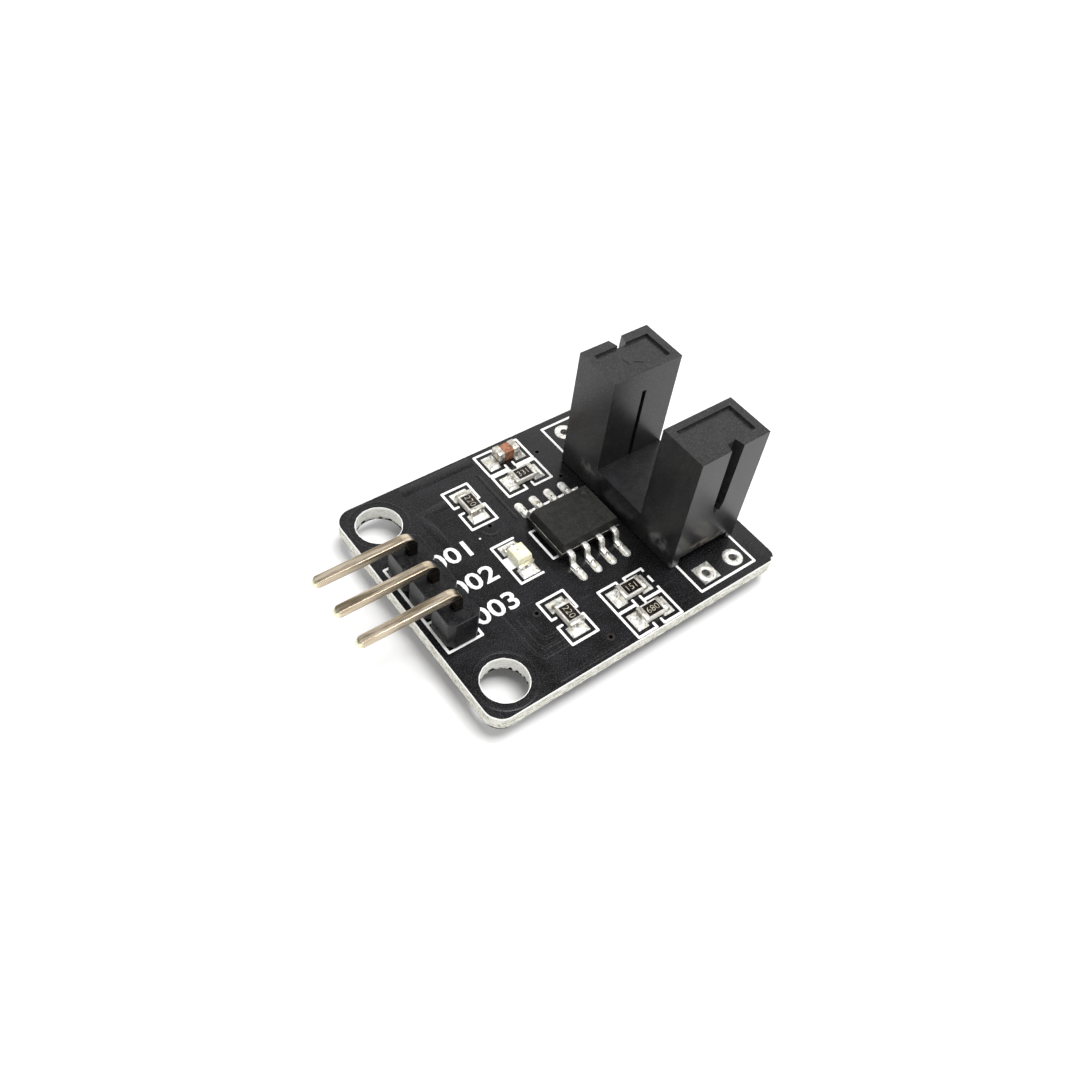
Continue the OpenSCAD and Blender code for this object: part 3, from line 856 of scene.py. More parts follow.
@dataclass(frozen=True)
class Palette:
    """Every finish on the module."""

    laminate: Finish = LaminateFinish(
        "cut_laminate", (0.46, 0.45, 0.37), (0.90, 0.89, 0.83), patch=0.22, grain=0.07, relief=0.04,
        rough=(0.65, 0.95), run=Grain.LAYERED,
    )
    mask: Finish = MaskFinish(
        "black_mask", (0.0035, 0.0035, 0.004), (0.007, 0.007, 0.0085), patch=1.6, grain=0.3, relief=0.001,
        rough=(0.16, 0.26), specular=0.42, blotches=grit(0.9, (0.05, 0.05, 0.051)),
    )
    ink: Finish = InkFinish(
        "board_ink", (0.84, 0.84, 0.83), (0.96, 0.96, 0.95), patch=0.4, grain=0.06, relief=0.006,
        rough=(0.5, 0.75),
    )
    code_ink: Finish = InkFinish(
        "pale_code_ink", (0.34, 0.30, 0.22), (0.66, 0.60, 0.48), patch=0.3, grain=0.06, relief=0.003,
        rough=(0.45, 0.7),
    )
    tin: Finish = Finish(
        "hot_tin", (0.42, 0.42, 0.40), (0.74, 0.74, 0.71), patch=0.3, grain=0.12, relief=0.005,
        rough=(0.25, 0.42), metallic=1.0,
    )
    copper: Finish = Finish(
        "covered_copper", (0.004, 0.004, 0.004), (0.016, 0.013, 0.012), patch=0.35, grain=0.08, relief=0.003,
        rough=(0.22, 0.36),
    )
    solder: Finish = SolderFinish(
        "wetted_solder", (0.66, 0.65, 0.60), (0.98, 0.97, 0.94), patch=0.3, grain=0.25, relief=0.008,
        rough=(0.24, 0.44), metallic=0.5,
    )
    plating: Finish = PlatingFinish(
        "pale_gold_plating", (0.43, 0.345, 0.235), (0.71, 0.61, 0.475), patch=0.3, grain=0.09, relief=0.0012,
        rough=(0.2, 0.36), run=Grain.ALONG_X, metallic=1.0,
    )
    header: Finish = HousingFinish(
        "header_black", (0.004, 0.004, 0.005), (0.010, 0.010, 0.011), patch=0.7, grain=0.12, relief=0.002,
        rough=(0.24, 0.4), specular=0.24, dust=Zone(0.02, 0.055, 0.3, 0.0, (0.34, 0.34, 0.34)),
        blotches=grit(0.7, (0.045, 0.045, 0.047)),
    )
    housing: Finish = HousingFinish(
        "housing_black", (0.006, 0.006, 0.007), (0.011, 0.011, 0.012), patch=0.5, grain=0.08, relief=0.0004,
        rough=(0.28, 0.34), run=Grain.UPRIGHT, specular=0.41, marks=SENSOR_MARKS,
        blotches=grit(0.85, (0.06, 0.06, 0.062)),
    )
    mould: Finish = Finish(
        "moulded_compound", (0.006, 0.006, 0.005), (0.011, 0.011, 0.009), patch=0.5, grain=0.05, relief=0.003,
        rough=(0.4, 0.55), specular=0.28, blotches=grit(0.6, (0.05, 0.05, 0.043)),
    )
    # Painted highlight: the parting line's flash is coloured pale for the light its edge catches.
    flash: Finish = Finish(
        "painted_highlight_flash", (0.10, 0.10, 0.09), (0.62, 0.62, 0.58), patch=0.35, grain=0.05, relief=0.002,
        rough=(0.4, 0.6),
    )
    lead: Finish = Finish(
        "tinned_lead", (0.72, 0.71, 0.66), (0.97, 0.96, 0.91), patch=0.3, grain=0.09, relief=0.002,
        rough=(0.22, 0.38), metallic=0.7,
    )
    alumina: Finish = Finish(
        "chip_alumina", (0.50, 0.48, 0.43), (0.72, 0.70, 0.65), patch=0.3, grain=0.05, relief=0.006,
        rough=(0.5, 0.75), scatter=0.1,
    )
    overcoat: Finish = Finish(
        "dark_glaze", (0.004, 0.0035, 0.003), (0.013, 0.010, 0.007), patch=0.35, grain=0.08, relief=0.001,
        rough=(0.2, 0.3), specular=0.35,
    )
    terminal: Finish = Finish(
        "dull_tin", (0.44, 0.42, 0.37), (0.82, 0.79, 0.72), patch=0.25, grain=0.12, relief=0.004,
        rough=(0.28, 0.5), metallic=0.95,
    )
    gold: Finish = Finish(
        "pale_gold_terminal", (0.66, 0.60, 0.42), (0.88, 0.84, 0.68), patch=0.3, grain=0.06, relief=0.006,
        rough=(0.25, 0.42), metallic=1.0,
    )
    capacitor: Finish = Finish(
        "orange_ceramic", (0.20, 0.070, 0.030), (0.40, 0.17, 0.085), patch=0.25, grain=0.05, relief=0.003,
        rough=(0.45, 0.65), scatter=0.1,
    )
    substrate: Finish = Finish(
        "white_substrate", (0.66, 0.66, 0.56), (0.82, 0.82, 0.72), patch=0.3, grain=0.06, relief=0.006,
        rough=(0.5, 0.7), scatter=0.15,
    )
    emitter: Finish = Finish(
        "blue_grey_resin", (0.10, 0.12, 0.17), (0.18, 0.21, 0.28), patch=1.0, grain=0.3, relief=0.002,
        rough=(0.08, 0.2), coat=0.4,
    )
    detector: Finish = Finish(
        "dark_resin", (0.012, 0.010, 0.014), (0.03, 0.024, 0.034), patch=1.0, grain=0.3, relief=0.002,
        rough=(0.08, 0.2), coat=0.4,
    )
    die: Finish = Finish(
        "crystal_die", (0.45, 0.38, 0.12), (0.66, 0.58, 0.22), patch=0.1, grain=0.03, relief=0.002,
        rough=(0.2, 0.35), metallic=0.4,
    )


FINISH = Palette()


def islands(node: str) -> list[tuple[Vector, Vector]]:
    """Finds the separate solids of a CAD node.

    Args:
        node: The node's name.

    Returns:
        The lowest and highest corner of each solid.
    """
    grid = bmesh.new()
    grid.from_mesh(frame["nodes"][node].data)
    bmesh.ops.remove_doubles(grid, verts=grid.verts, dist=TOUCHING)
    left = set(grid.verts)
    found = []
    while left:
        queue = [left.pop()]
        members = list(queue)
        while queue:
            for edge in queue.pop().link_edges:
                for vert in edge.verts:
                    if vert in left:
                        left.discard(vert)
                        queue.append(vert)
                        members.append(vert)
        places = [BOARD.local(v.co) for v in members]
        low = Vector(min(p[axis] for p in places) for axis in range(3))
        high = Vector(max(p[axis] for p in places) for axis in range(3))
        found.append((low, high))
    grid.free()
    return sorted(found, key=lambda pair: (round(pair[0].x, 3), round(pair[0].y, 3)))


def radii(node: str, centre: Vector, reach: float) -> list[float]:
    """Measures how far a CAD node's points lie from an upright axis.

    Args:
        node: The node's name.
        centre: Where the axis stands.
        reach: Points from here on belong to a neighbour.

    Returns:
        The different distances, the smallest first.
    """
    gaps = ((BOARD.local(v.co).xy - centre).length for v in frame["nodes"][node].data.vertices)
    return sorted({round(gap, 3) for gap in gaps if gap < reach})


def place_piece(name: str, mesh: Mesh, finish: Finish, stands_for: Sequence[str] = ()) -> None:
    """Puts a finished mesh into the scene as a piece of the module.

    Args:
        name: The piece's name.
        mesh: Its mesh.
        finish: Its finish.
        stands_for: CAD nodes that the piece replaces.
    """
    mesh.name = name
    piece = bpy.data.objects.new(name, mesh)
    bpy.context.scene.collection.objects.link(piece)
    mesh.materials.clear()
    mesh.materials.append(finish.build())
    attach(piece, "root")
    if stands_for:
        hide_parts(*stands_for)
    LOG.info("%s: %d faces", name, len(mesh.polygons))


def dress(finish: Finish, *nodes: str) -> None:
    """Gives CAD nodes a finish and leaves their shape alone.

    Args:
        finish: The finish.
        *nodes: The nodes' names.
    """
    for node in nodes:
        mesh = frame["nodes"][node].data
        mesh.materials.clear()
        mesh.materials.append(finish.build())
        LOG.info("%s: dressed in %s", node, finish.name)


def held(data: bpy.types.ID) -> bpy.types.Object:
    """Puts a mesh, a curve or a text into the scene for as long as it takes to bake it.

    Args:
        data: The mesh, curve or text.

    Returns:
        The object that holds it.
    """
    holder = bpy.data.objects.new("holder", data)
    bpy.context.scene.collection.objects.link(holder)
    return holder


def baked(holder: bpy.types.Object) -> Mesh:
    """Turns an object, with its modifiers, into a plain mesh and removes the object.

    Args:
        holder: The object.

    Returns:
        The evaluated mesh.
    """
    graph = bpy.context.evaluated_depsgraph_get()
    mesh = bpy.data.meshes.new_from_object(holder.evaluated_get(graph), depsgraph=graph)
    bpy.data.objects.remove(holder)
    return mesh


def soften(
    node: str, name: str, finish: Finish, radius: float, segments: int = 2, sharpness: float = 30
) -> None:
    """Replaces a CAD node by a copy whose edges are rounded as a moulding's or a stamping's are.

    Args:
        node: The CAD node.
        name: The new piece's name.
        finish: Its finish.
        radius: The edge radius.
        segments: Facets across each rounded edge.
        sharpness: Edges that turn by more than this, in degrees, are rounded.
    """
    flat_turn = math.radians(0.5)
    mesh = frame["nodes"][node].data.copy()
    grid = bmesh.new()
    grid.from_mesh(mesh)
    bmesh.ops.remove_doubles(grid, verts=grid.verts, dist=TOUCHING)
    bmesh.ops.dissolve_limit(grid, angle_limit=flat_turn, verts=grid.verts, edges=grid.edges)
    for face in grid.faces:
        face.smooth = True
    grid.to_mesh(mesh)
    grid.free()
    holder = held(mesh)
    bevel = holder.modifiers.new("edges", "BEVEL")
    bevel.width = radius * MM
    bevel.segments = segments
    bevel.limit_method = "ANGLE"
    bevel.angle_limit = math.radians(sharpness)
    bevel.miter_outer = "MITER_ARC"
    flat = holder.modifiers.new("flat_faces", "WEIGHTED_NORMAL")
    flat.weight = 100
    place_piece(name, baked(holder), finish, [node])


def smoothed(grid: Grid, crease: float) -> Mesh:
    """Turns a bmesh in metres into a mesh with outward faces.

    Args:
        grid: The bmesh, which is freed.
        crease: Turn from which an edge stays sharp, in degrees.

    Returns:
        The mesh.
    """
    bmesh.ops.recalc_face_normals(grid, faces=grid.faces)
    mesh = bpy.data.meshes.new("mesh")
    grid.to_mesh(mesh)
    grid.free()
    mesh.shade_smooth()
    mesh.set_sharp_from_angle(angle=math.radians(crease))
    return mesh


def mesh_of(grid: Grid, origin: Sequence[float] = (0.0, 0.0, 0.0), crease: float = 180.0) -> Mesh:
    """Turns a bmesh in millimetres into a mesh in metres with outward faces.

    Args:
        grid: The bmesh, which is freed.
        origin: Where its origin comes to lie, in metres.
        crease: Turn from which an edge stays sharp, in degrees.

    Returns:
        The mesh.
    """
    to_metres = Matrix.Translation(origin) @ Matrix.Scale(MM, 4)
    bmesh.ops.transform(grid, matrix=to_metres, verts=grid.verts)
    bmesh.ops.remove_doubles(grid, verts=grid.verts, dist=TOUCHING)
    return smoothed(grid, crease)


def joined(meshes: Sequence[Mesh], crease: float = 25.0) -> Mesh:
    """Joins meshes that are already in the row frame.

    Args:
        meshes: The meshes, which are removed.
        crease: Turn from which an edge stays sharp, in degrees.

    Returns:
        One mesh.
    """
    grid = bmesh.new()
    for mesh in meshes:
        grid.from_mesh(mesh)
        bpy.data.meshes.remove(mesh)
    return smoothed(grid, crease)


def circle(centre: Point, radius: float, steps: int) -> list[Point]:
    """Gives evenly spaced points round a circle.

    Args:
        centre: The circle's middle.
        radius: Its radius.
        steps: How many points.

    Returns:
        The points, anticlockwise from +x.
    """
    angles = [k * math.tau / steps for k in range(steps)]
    return [(centre[0] + radius * math.cos(a), centre[1] + radius * math.sin(a)) for a in angles]


def loop_at(grid: Grid, points: Sequence[Point], level: float) -> list[bmesh.types.BMVert]:
    """Adds points at one height to a bmesh, and gives their vertices."""
    return [grid.verts.new((x, y, level)) for x, y in points]


def bridge(grid: Grid, loops: Sequence[Sequence[bmesh.types.BMVert]]) -> None:
    """Joins each closed loop of vertices to the next by a band of faces.

    Args:
        grid: The bmesh to add to.
        loops: The loops, all with as many vertices.
    """
    for near, far in zip(loops, loops[1:]):
        for i in range(len(near)):
            j = (i + 1) % len(near)
            grid.faces.new((near[i], near[j], far[j], far[i]))


def mound(
    core: Sequence[Point],
    rim: Sequence[Point],
    rings: int,
    height: Callable[[float, float, float], float],
    base: float = -0.001,
) -> Mesh:
    """Builds a closed mound over an outline, with its top given by a height function.

    Args:
        core: For each point of the rim, the point inside that it runs in to.
        rim: The outline.
        rings: How many rings lie between them.
        height: Gives the height at x, y and at a share from 0 at the core to 1 at the rim.
        base: Height of the underside, a hair inside what the mound lies on.

    Returns:
        The mesh.
    """
    grid = bmesh.new()
    loops = []
    for k in range(rings + 1):
        share = k / rings
        loop = []
        for inner, outer in zip(core, rim):
            x = inner[0] + (outer[0] - inner[0]) * share
            y = inner[1] + (outer[1] - inner[1]) * share
            loop.append(grid.verts.new((x, y, base + height(x, y, share))))
        loops.append(loop)
    loops.append(loop_at(grid, rim, base))
    bridge(grid, loops)
    grid.faces.new(loops[-1])
    return mesh_of(grid)


def obround(length: float, width: float, centre: Point, steps: int) -> tuple[list[Point], list[Point]]:
    """Gives the rim of a round-ended pad along x, and for each rim point its point on the spine.

    Args:
        length: Overall length.
        width: Width, and so the diameter of the ends.
        centre: The middle of the pad.
        steps: Points along each straight side and round each end.

    Returns:
        The spine points and the rim points.
    """
    radius = width / 2
    half = length / 2 - radius
    core: list[Point] = []
    rim: list[Point] = []
    for end in (1, -1):
        for k in range(steps):
            angle = math.radians(-90 + 180 * k / steps) + (0 if end > 0 else math.pi)
            core.append((centre[0] + end * half, centre[1]))
            rim.append((core[-1][0] + radius * math.cos(angle), core[-1][1] + radius * math.sin(angle)))
        for k in range(steps):
            x = centre[0] + end * half * (1 - 2 * k / steps)
            core.append((x, centre[1]))
            rim.append((x, centre[1] + end * radius))
    return core, rim


def rounded_box(
    low: Point, high: Point, radius: float, steps: int = 4, along: int = 6, last_radius: float | None = None
) -> list[Point]:
    """Gives the outline of a rectangle with rounded corners, anticlockwise, evenly divided.

    Args:
        low: The low corner.
        high: The high corner.
        radius: The corner radius.
        steps: Points round each corner.
        along: Points along each side.
        last_radius: The radius of the corner at high x and low y, if it differs.

    Returns:
        The outline's points.
    """
    last = radius if last_radius is None else last_radius
    corners = [
        (high[0] - radius, high[1] - radius, radius, 0),
        (low[0] + radius, high[1] - radius, radius, 90),
        (low[0] + radius, low[1] + radius, radius, 180),
        (high[0] - last, low[1] + last, last, 270),
    ]
    arcs = []
    for x, y, r, turn in corners:
        angles = [math.radians(turn + 90 * k / steps) for k in range(steps + 1)]
        arcs.append([Vector((x + r * math.cos(a), y + r * math.sin(a))) for a in angles])
    outline: list[Point] = []
    for arc, after in zip(arcs, arcs[1:] + arcs[:1]):
        outline.extend(tuple(point) for point in arc)
        outline.extend(tuple(arc[-1].lerp(after[0], k / along)) for k in range(1, along))
    return outline


class NodeRecipe:
    """A Geometry Nodes tree with named inputs, run once on a mesh or curve to give a plain mesh."""

    def __init__(self, name: str) -> None:
        """Starts an empty tree with one geometry input and output.

        Args:
            name: The tree's name.
        """
        self.tree = bpy.data.node_groups.new(name, "GeometryNodeTree")
        self.tree.interface.new_socket("Geometry", in_out="INPUT", socket_type="NodeSocketGeometry")
        self.tree.interface.new_socket("Geometry", in_out="OUTPUT", socket_type="NodeSocketGeometry")
        self.values: dict[str, object] = {}
        self.graph = Graph(self.tree)

    def ask(self, name: str, kind: str, value: object) -> None:
        """Declares a named input and the value that it is run with.

        Args:
            name: The input's name.
            kind: Its socket type, such as Float.
            value: Its value.
        """
        socket = self.tree.interface.new_socket(name, in_out="INPUT", socket_type=f"NodeSocket{kind}")
        self.values[socket.identifier] = value

    def begin(self) -> bpy.types.Node:
        """Adds the group input, once all inputs are declared, and gives its node."""
        return self.graph.add("NodeGroupInput")

    def end(self, result: Socket, finish: Finish) -> None:
        """Realizes instances, sets the material and closes the tree.

        Args:
            result: The geometry made so far.
            finish: The finish of the result.
        """
        real = self.graph.add("GeometryNodeRealizeInstances", {0: result}).outputs[0]
        dressed = self.graph.add("GeometryNodeSetMaterial", {"Geometry": real, "Material": finish.build()})
        smooth = self.graph.add("GeometryNodeSetShadeSmooth", {"Geometry": dressed.outputs[0]})
        self.graph.add("NodeGroupOutput", {0: smooth.outputs[0]})

    def run(self, data: bpy.types.ID) -> Mesh:
        """Runs the tree on a mesh or curve.

        Args:
            data: The mesh or curve to start from.

        Returns:
            The plain mesh that comes out.
        """
        holder = held(data)
        modifier = holder.modifiers.new("recipe", "NODES")
        modifier.node_group = self.tree
        for identifier, value in self.values.items():
            modifier[identifier] = value
        return baked(holder)


@dataclass(frozen=True)
class SolderCopies:
    """Repeats a shape of solder at points with Geometry Nodes, each copy a little different.

    Attributes:
        name: The tree's name.
        wobble: How far noise may move a copy's surface.
        seed: Seed of the noise.
        lump: Size of the noise's features.
        crease: Turn from which an edge stays sharp, in degrees.
    """

    name: str
    wobble: float
    seed: int
    lump: float = 0.32
    crease: float = 180.0

    def over(self, solids: Sequence[tuple[Vector, Vector]], shape: Mesh) -> Mesh:
        """Puts a copy at the board's top over the middle of each solid.

        Args:
            solids: The lowest and highest corner of each solid.
            shape: The mesh to repeat, about its own origin.

        Returns:
            One plain mesh with all the copies.
        """
        middles = [(low + high) / 2 for low, high in solids]
        return self.at([BOARD.at(middle.x, middle.y) for middle in middles], [0.0] * len(middles), shape)

    def at(self, places: Sequence[Vector], turns: Sequence[float], shape: Mesh) -> Mesh:
        """Puts a copy at each place.

        Args:
            places: The places in the row frame, in metres.
            turns: The turn of each copy about z, in degrees.
            shape: The mesh to repeat, about its own origin.

        Returns:
            One plain mesh with all the copies.
        """
        points = bpy.data.meshes.new("points")
        points.from_pydata([tuple(place) for place in places], [], [])
        turned = points.attributes.new("turn", "FLOAT", "POINT")
        turned.data.foreach_set("value", [math.radians(turn) for turn in turns])
        source = bpy.data.objects.new(self.name + "_shape", shape)
        recipe = NodeRecipe(self.name)
        recipe.ask("Shape", "Object", source)
        recipe.ask("Wobble", "Float", self.wobble * MM)
        recipe.ask("Seed", "Float", float(self.seed))
        start = recipe.begin()
        graph = recipe.graph
        info = graph.add("GeometryNodeObjectInfo", {"Object": start.outputs["Shape"]})
        turn = graph.add("GeometryNodeInputNamedAttribute", {"Name": "turn"}, data_type="FLOAT").outputs[0]
        about_z = graph.add("ShaderNodeCombineXYZ", {"Z": turn}).outputs[0]
        copies = graph.add(
            "GeometryNodeInstanceOnPoints",
            {"Points": start.outputs["Geometry"], "Instance": info.outputs["Geometry"], "Rotation": about_z},
        )
        real = graph.add("GeometryNodeRealizeInstances", {0: copies.outputs[0]}).outputs[0]
        place = graph.add("GeometryNodeInputPosition").outputs[0]
        unevenness = graph.add(
            "ShaderNodeTexNoise",
            {"Vector": place, "W": start.outputs["Seed"], "Scale": 1 / (self.lump * MM), "Detail": 1.0},
            noise_dimensions="4D",
        )
        colour = unevenness.outputs["Color"]
        centred = graph.add("ShaderNodeVectorMath", {0: colour, 1: (-0.5, -0.5, -0.5)}).outputs[0]
        shift = graph.add(
            "ShaderNodeVectorMath", {0: centred, "Scale": start.outputs["Wobble"]}, operation="SCALE"
        ).outputs[0]
        moved = graph.add("GeometryNodeSetPosition", {"Geometry": real, "Offset": shift}).outputs[0]
        recipe.end(moved, FINISH.solder)
        mesh = recipe.run(points)
        bpy.data.objects.remove(source)
        mesh.set_sharp_from_angle(angle=math.radians(self.crease))
        return mesh


@dataclass
class Laminate:
    """The bare board with its rough, pale cut edges.

    Attributes:
        corner_r: Corner radius of the board.
        corner_steps: Points round a corner.
        worn_r: Radius of the one worn corner.
        nick: Middle and depth of the nick there, from the corner itself.
        nick_half: Half the width of the nick's mouth.
        step: Spacing of the points along a cut edge.
        ring_steps: Points round a mounting hole.
        barrel_steps: Points round a plated hole.
        barrel_reach: Radius round a plated hole that holds no other hole's points.
        layers: Rows of points across the thickness.
        coarse: Lumps of the coarse tearing, along a millimetre of the cut and up one.
        fine: Lumps of the fine tearing, likewise.
        fine_share: How much of the tearing is fine.
        fine_shift: Keeps the two apart in the noise.
        contrast: How many times more uneven the walls of the mounting holes are.
        hole_mean: How far those walls are torn back on the whole, as a share of the deepest.
        tear: How far the cut is torn back.
        chip: How far the lower rim is chipped.
        scallop: How many times deeper the foot of a mounting hole is chipped.
        flare: How soon that foot narrows: 1 over the whole thickness, 3 over a third of it.
        foot_h: Height of the chipped foot.
        undercut: How far the foot lies back at its bottom and at its top.
        rim: How much of the tearing is left at the top of the core and on the lip.
        film_edge: How far the mask film stays back from a cut.
        lip: How far the pale torn lip reaches past that.
        lip_h: Height of the lip over the film.
        lip_back: How far the lip lies back from the cut.
        lip_foot: How far its inner foot lies behind its inner edge.
        crease: Turn from which an edge stays sharp, in degrees.
    """

    corner_r: float = 1.27
    corner_steps: int = 14
    worn_r: float = 0.75
    nick: Point = (-0.42, 0.17)
    nick_half: float = 0.2
    step: float = 0.11
    ring_steps: int = 120
    barrel_steps: int = 40
    barrel_reach: float = 1.2
    layers: int = 7
    coarse: Point = (2.3, 2.5)
    fine: Point = (4.9, 5.0)
    fine_share: float = 0.65
    fine_shift: float = 7.0
    contrast: float = 1.6
    hole_mean: float = 0.45
    tear: float = 0.045
    chip: float = 0.18
    scallop: float = 1.15
    flare: float = 3.0
    foot_h: float = 0.05
    undercut: Point = (0.03, 0.02)
    rim: Point = (0.6, 0.5)
    film_edge: float = 0.05
    lip: float = 0.025
    lip_h: float = 0.006
    lip_back: float = 0.012
    lip_foot: float = 0.02
    crease: float = 50.0

    def build(self) -> None:
        """Builds the board core and puts it in place of its solid."""
        high = BOARD.box("board")[1]
        grid = bmesh.new()
        along = int((high.x - 2 * self.corner_r) / self.step)
        corner = (self.corner_r, self.corner_steps)
        whole = rounded_box((0.0, 0.0), (high.x, high.y), *corner, along, self.worn_r)
        outline = [self.nicked(x, y, high.x + self.nick[0]) for x, y in whole]
        self.wall(grid, outline, (high.x / 2, high.y / 2), Cut.EDGE)
        bare, radius = BOARD.mounting_holes()
        for centre in bare:
            self.wall(grid, circle(centre, radius, self.ring_steps), centre, Cut.BARE_HOLE)
        for node in ("header_plated_holes", "sensor_plated_holes", "spare_plated_holes", "vias"):
            for lowest, highest in islands(node):
                middle = (lowest + highest).xy / 2
                bore_and_wall = radii(node, middle, self.barrel_reach)[:2]
                ring = circle(tuple(middle), bore_and_wall[-1], self.barrel_steps)
                self.wall(grid, ring, tuple(middle), Cut.PLATED_HOLE)
        self.caps(grid)
        core = mesh_of(grid, BOARD.corner, self.crease)
        place_piece("laminate_core", core, FINISH.laminate, ["board"])

    def nicked(self, x: float, y: float, middle: float) -> Point:
        """Moves a point of the outline into the nick, where it lies there.

        Args:
            x: Where the point lies along the board.
            y: Where it lies across the board.
            middle: Where the nick's middle lies along the board.

        Returns:
            The point, moved or as it was.
        """
        share = 1 - abs(x - middle) / self.nick_half
        if share <= 0 or y > 2 * self.nick[1]:
            return x, y
        return x, y + share * self.nick[1]

    def wall(self, grid: Grid, ring: Sequence[Point], centre: Point, cut: Cut) -> None:
        """Adds a wall that follows an outline from the bottom to the top of the core.

        Args:
            grid: The bmesh to add to.
            ring: The outline.
            centre: A point inside the outline.
            cut: What the wall bounds.
        """
        loops = []
        for z, depth, back in self.profile(cut):
            loop = []
            for x, y in ring:
                away = (Vector((x, y)) - Vector(centre)).normalized()
                shift = away * cut.value * (depth * self.ragged(x, y, z, cut) + back)
                loop.append(grid.verts.new((x + shift.x, y + shift.y, z)))
            loops.append(loop)
        bridge(grid, loops)

    def ragged(self, x: float, y: float, z: float, cut: Cut) -> float:
        """Gives how far a point of a wall is torn back.

        Args:
            x: Where the point lies along the board.
            y: Where it lies across the board.
            z: Its height.
            cut: What the wall bounds.

        Returns:
            The depth, as a share of the deepest at that height.
        """
        coarse_xy, coarse_z = self.coarse
        fine_xy, fine_z = self.fine
        coarse = 0.5 + noise.noise(Vector((x * coarse_xy, y * coarse_xy, z * coarse_z)))
        fine = 0.5 + noise.noise(Vector((x * fine_xy, y * fine_xy, z * fine_z + self.fine_shift)))
        share = max(coarse * (1 - self.fine_share) + fine * self.fine_share, 0.0)
        if cut is Cut.BARE_HOLE:
            share = min(max(self.hole_mean + (share - 0.5) * self.contrast, 0.0), 1.0)
        return share

    def profile(self, cut: Cut) -> list[Spot]:
        """Gives a wall's section, from the bottom face round to the top face.

        Args:
            cut: What the wall bounds.

        Returns:
            The height of each row, how far its roughness reaches, and how far it lies back.
        """
        low, high = (corner.z for corner in BOARD.box("board"))
        if cut is Cut.PLATED_HOLE:
            return [(low, 0.0, 0.0), (high, 0.0, 0.0)]
        chip = self.chip
        deeper = 0.0
        if cut is Cut.BARE_HOLE:
            chip = self.chip * self.scallop
            deeper = chip - self.tear
        rows = [(low, chip, self.undercut[0]), (low + self.foot_h, chip, self.undercut[1])]
        for k in range(1, self.layers):
            share = k / self.layers
            depth = self.tear + deeper * max(1 - self.flare * share, 0.0)
            rows.append((low + (high - low) * share, depth, 0.0))
        rows.append((high, self.tear * self.rim[0], 0.0))
        rows.append((self.lip_h, self.tear * self.rim[1], self.lip_back))
        rows.append((self.lip_h, self.lip, self.film_edge))
        rows.append((high, self.lip, self.film_edge + self.lip_foot))
        return rows

    def caps(self, grid: Grid) -> None:
        """Closes the top and the bottom, leaving the holes open.

        Args:
            grid: The bmesh that holds the walls.
        """
        open_edges = [e for e in grid.edges if e.is_boundary]
        middle = sum(e.verts[0].co.z for e in open_edges) / len(open_edges)
        for upper in (False, True):
            rim = [e for e in open_edges if (e.verts[0].co.z > middle) == upper]
            bmesh.ops.triangle_fill(grid, use_beauty=True, use_dissolve=False, edges=rim)


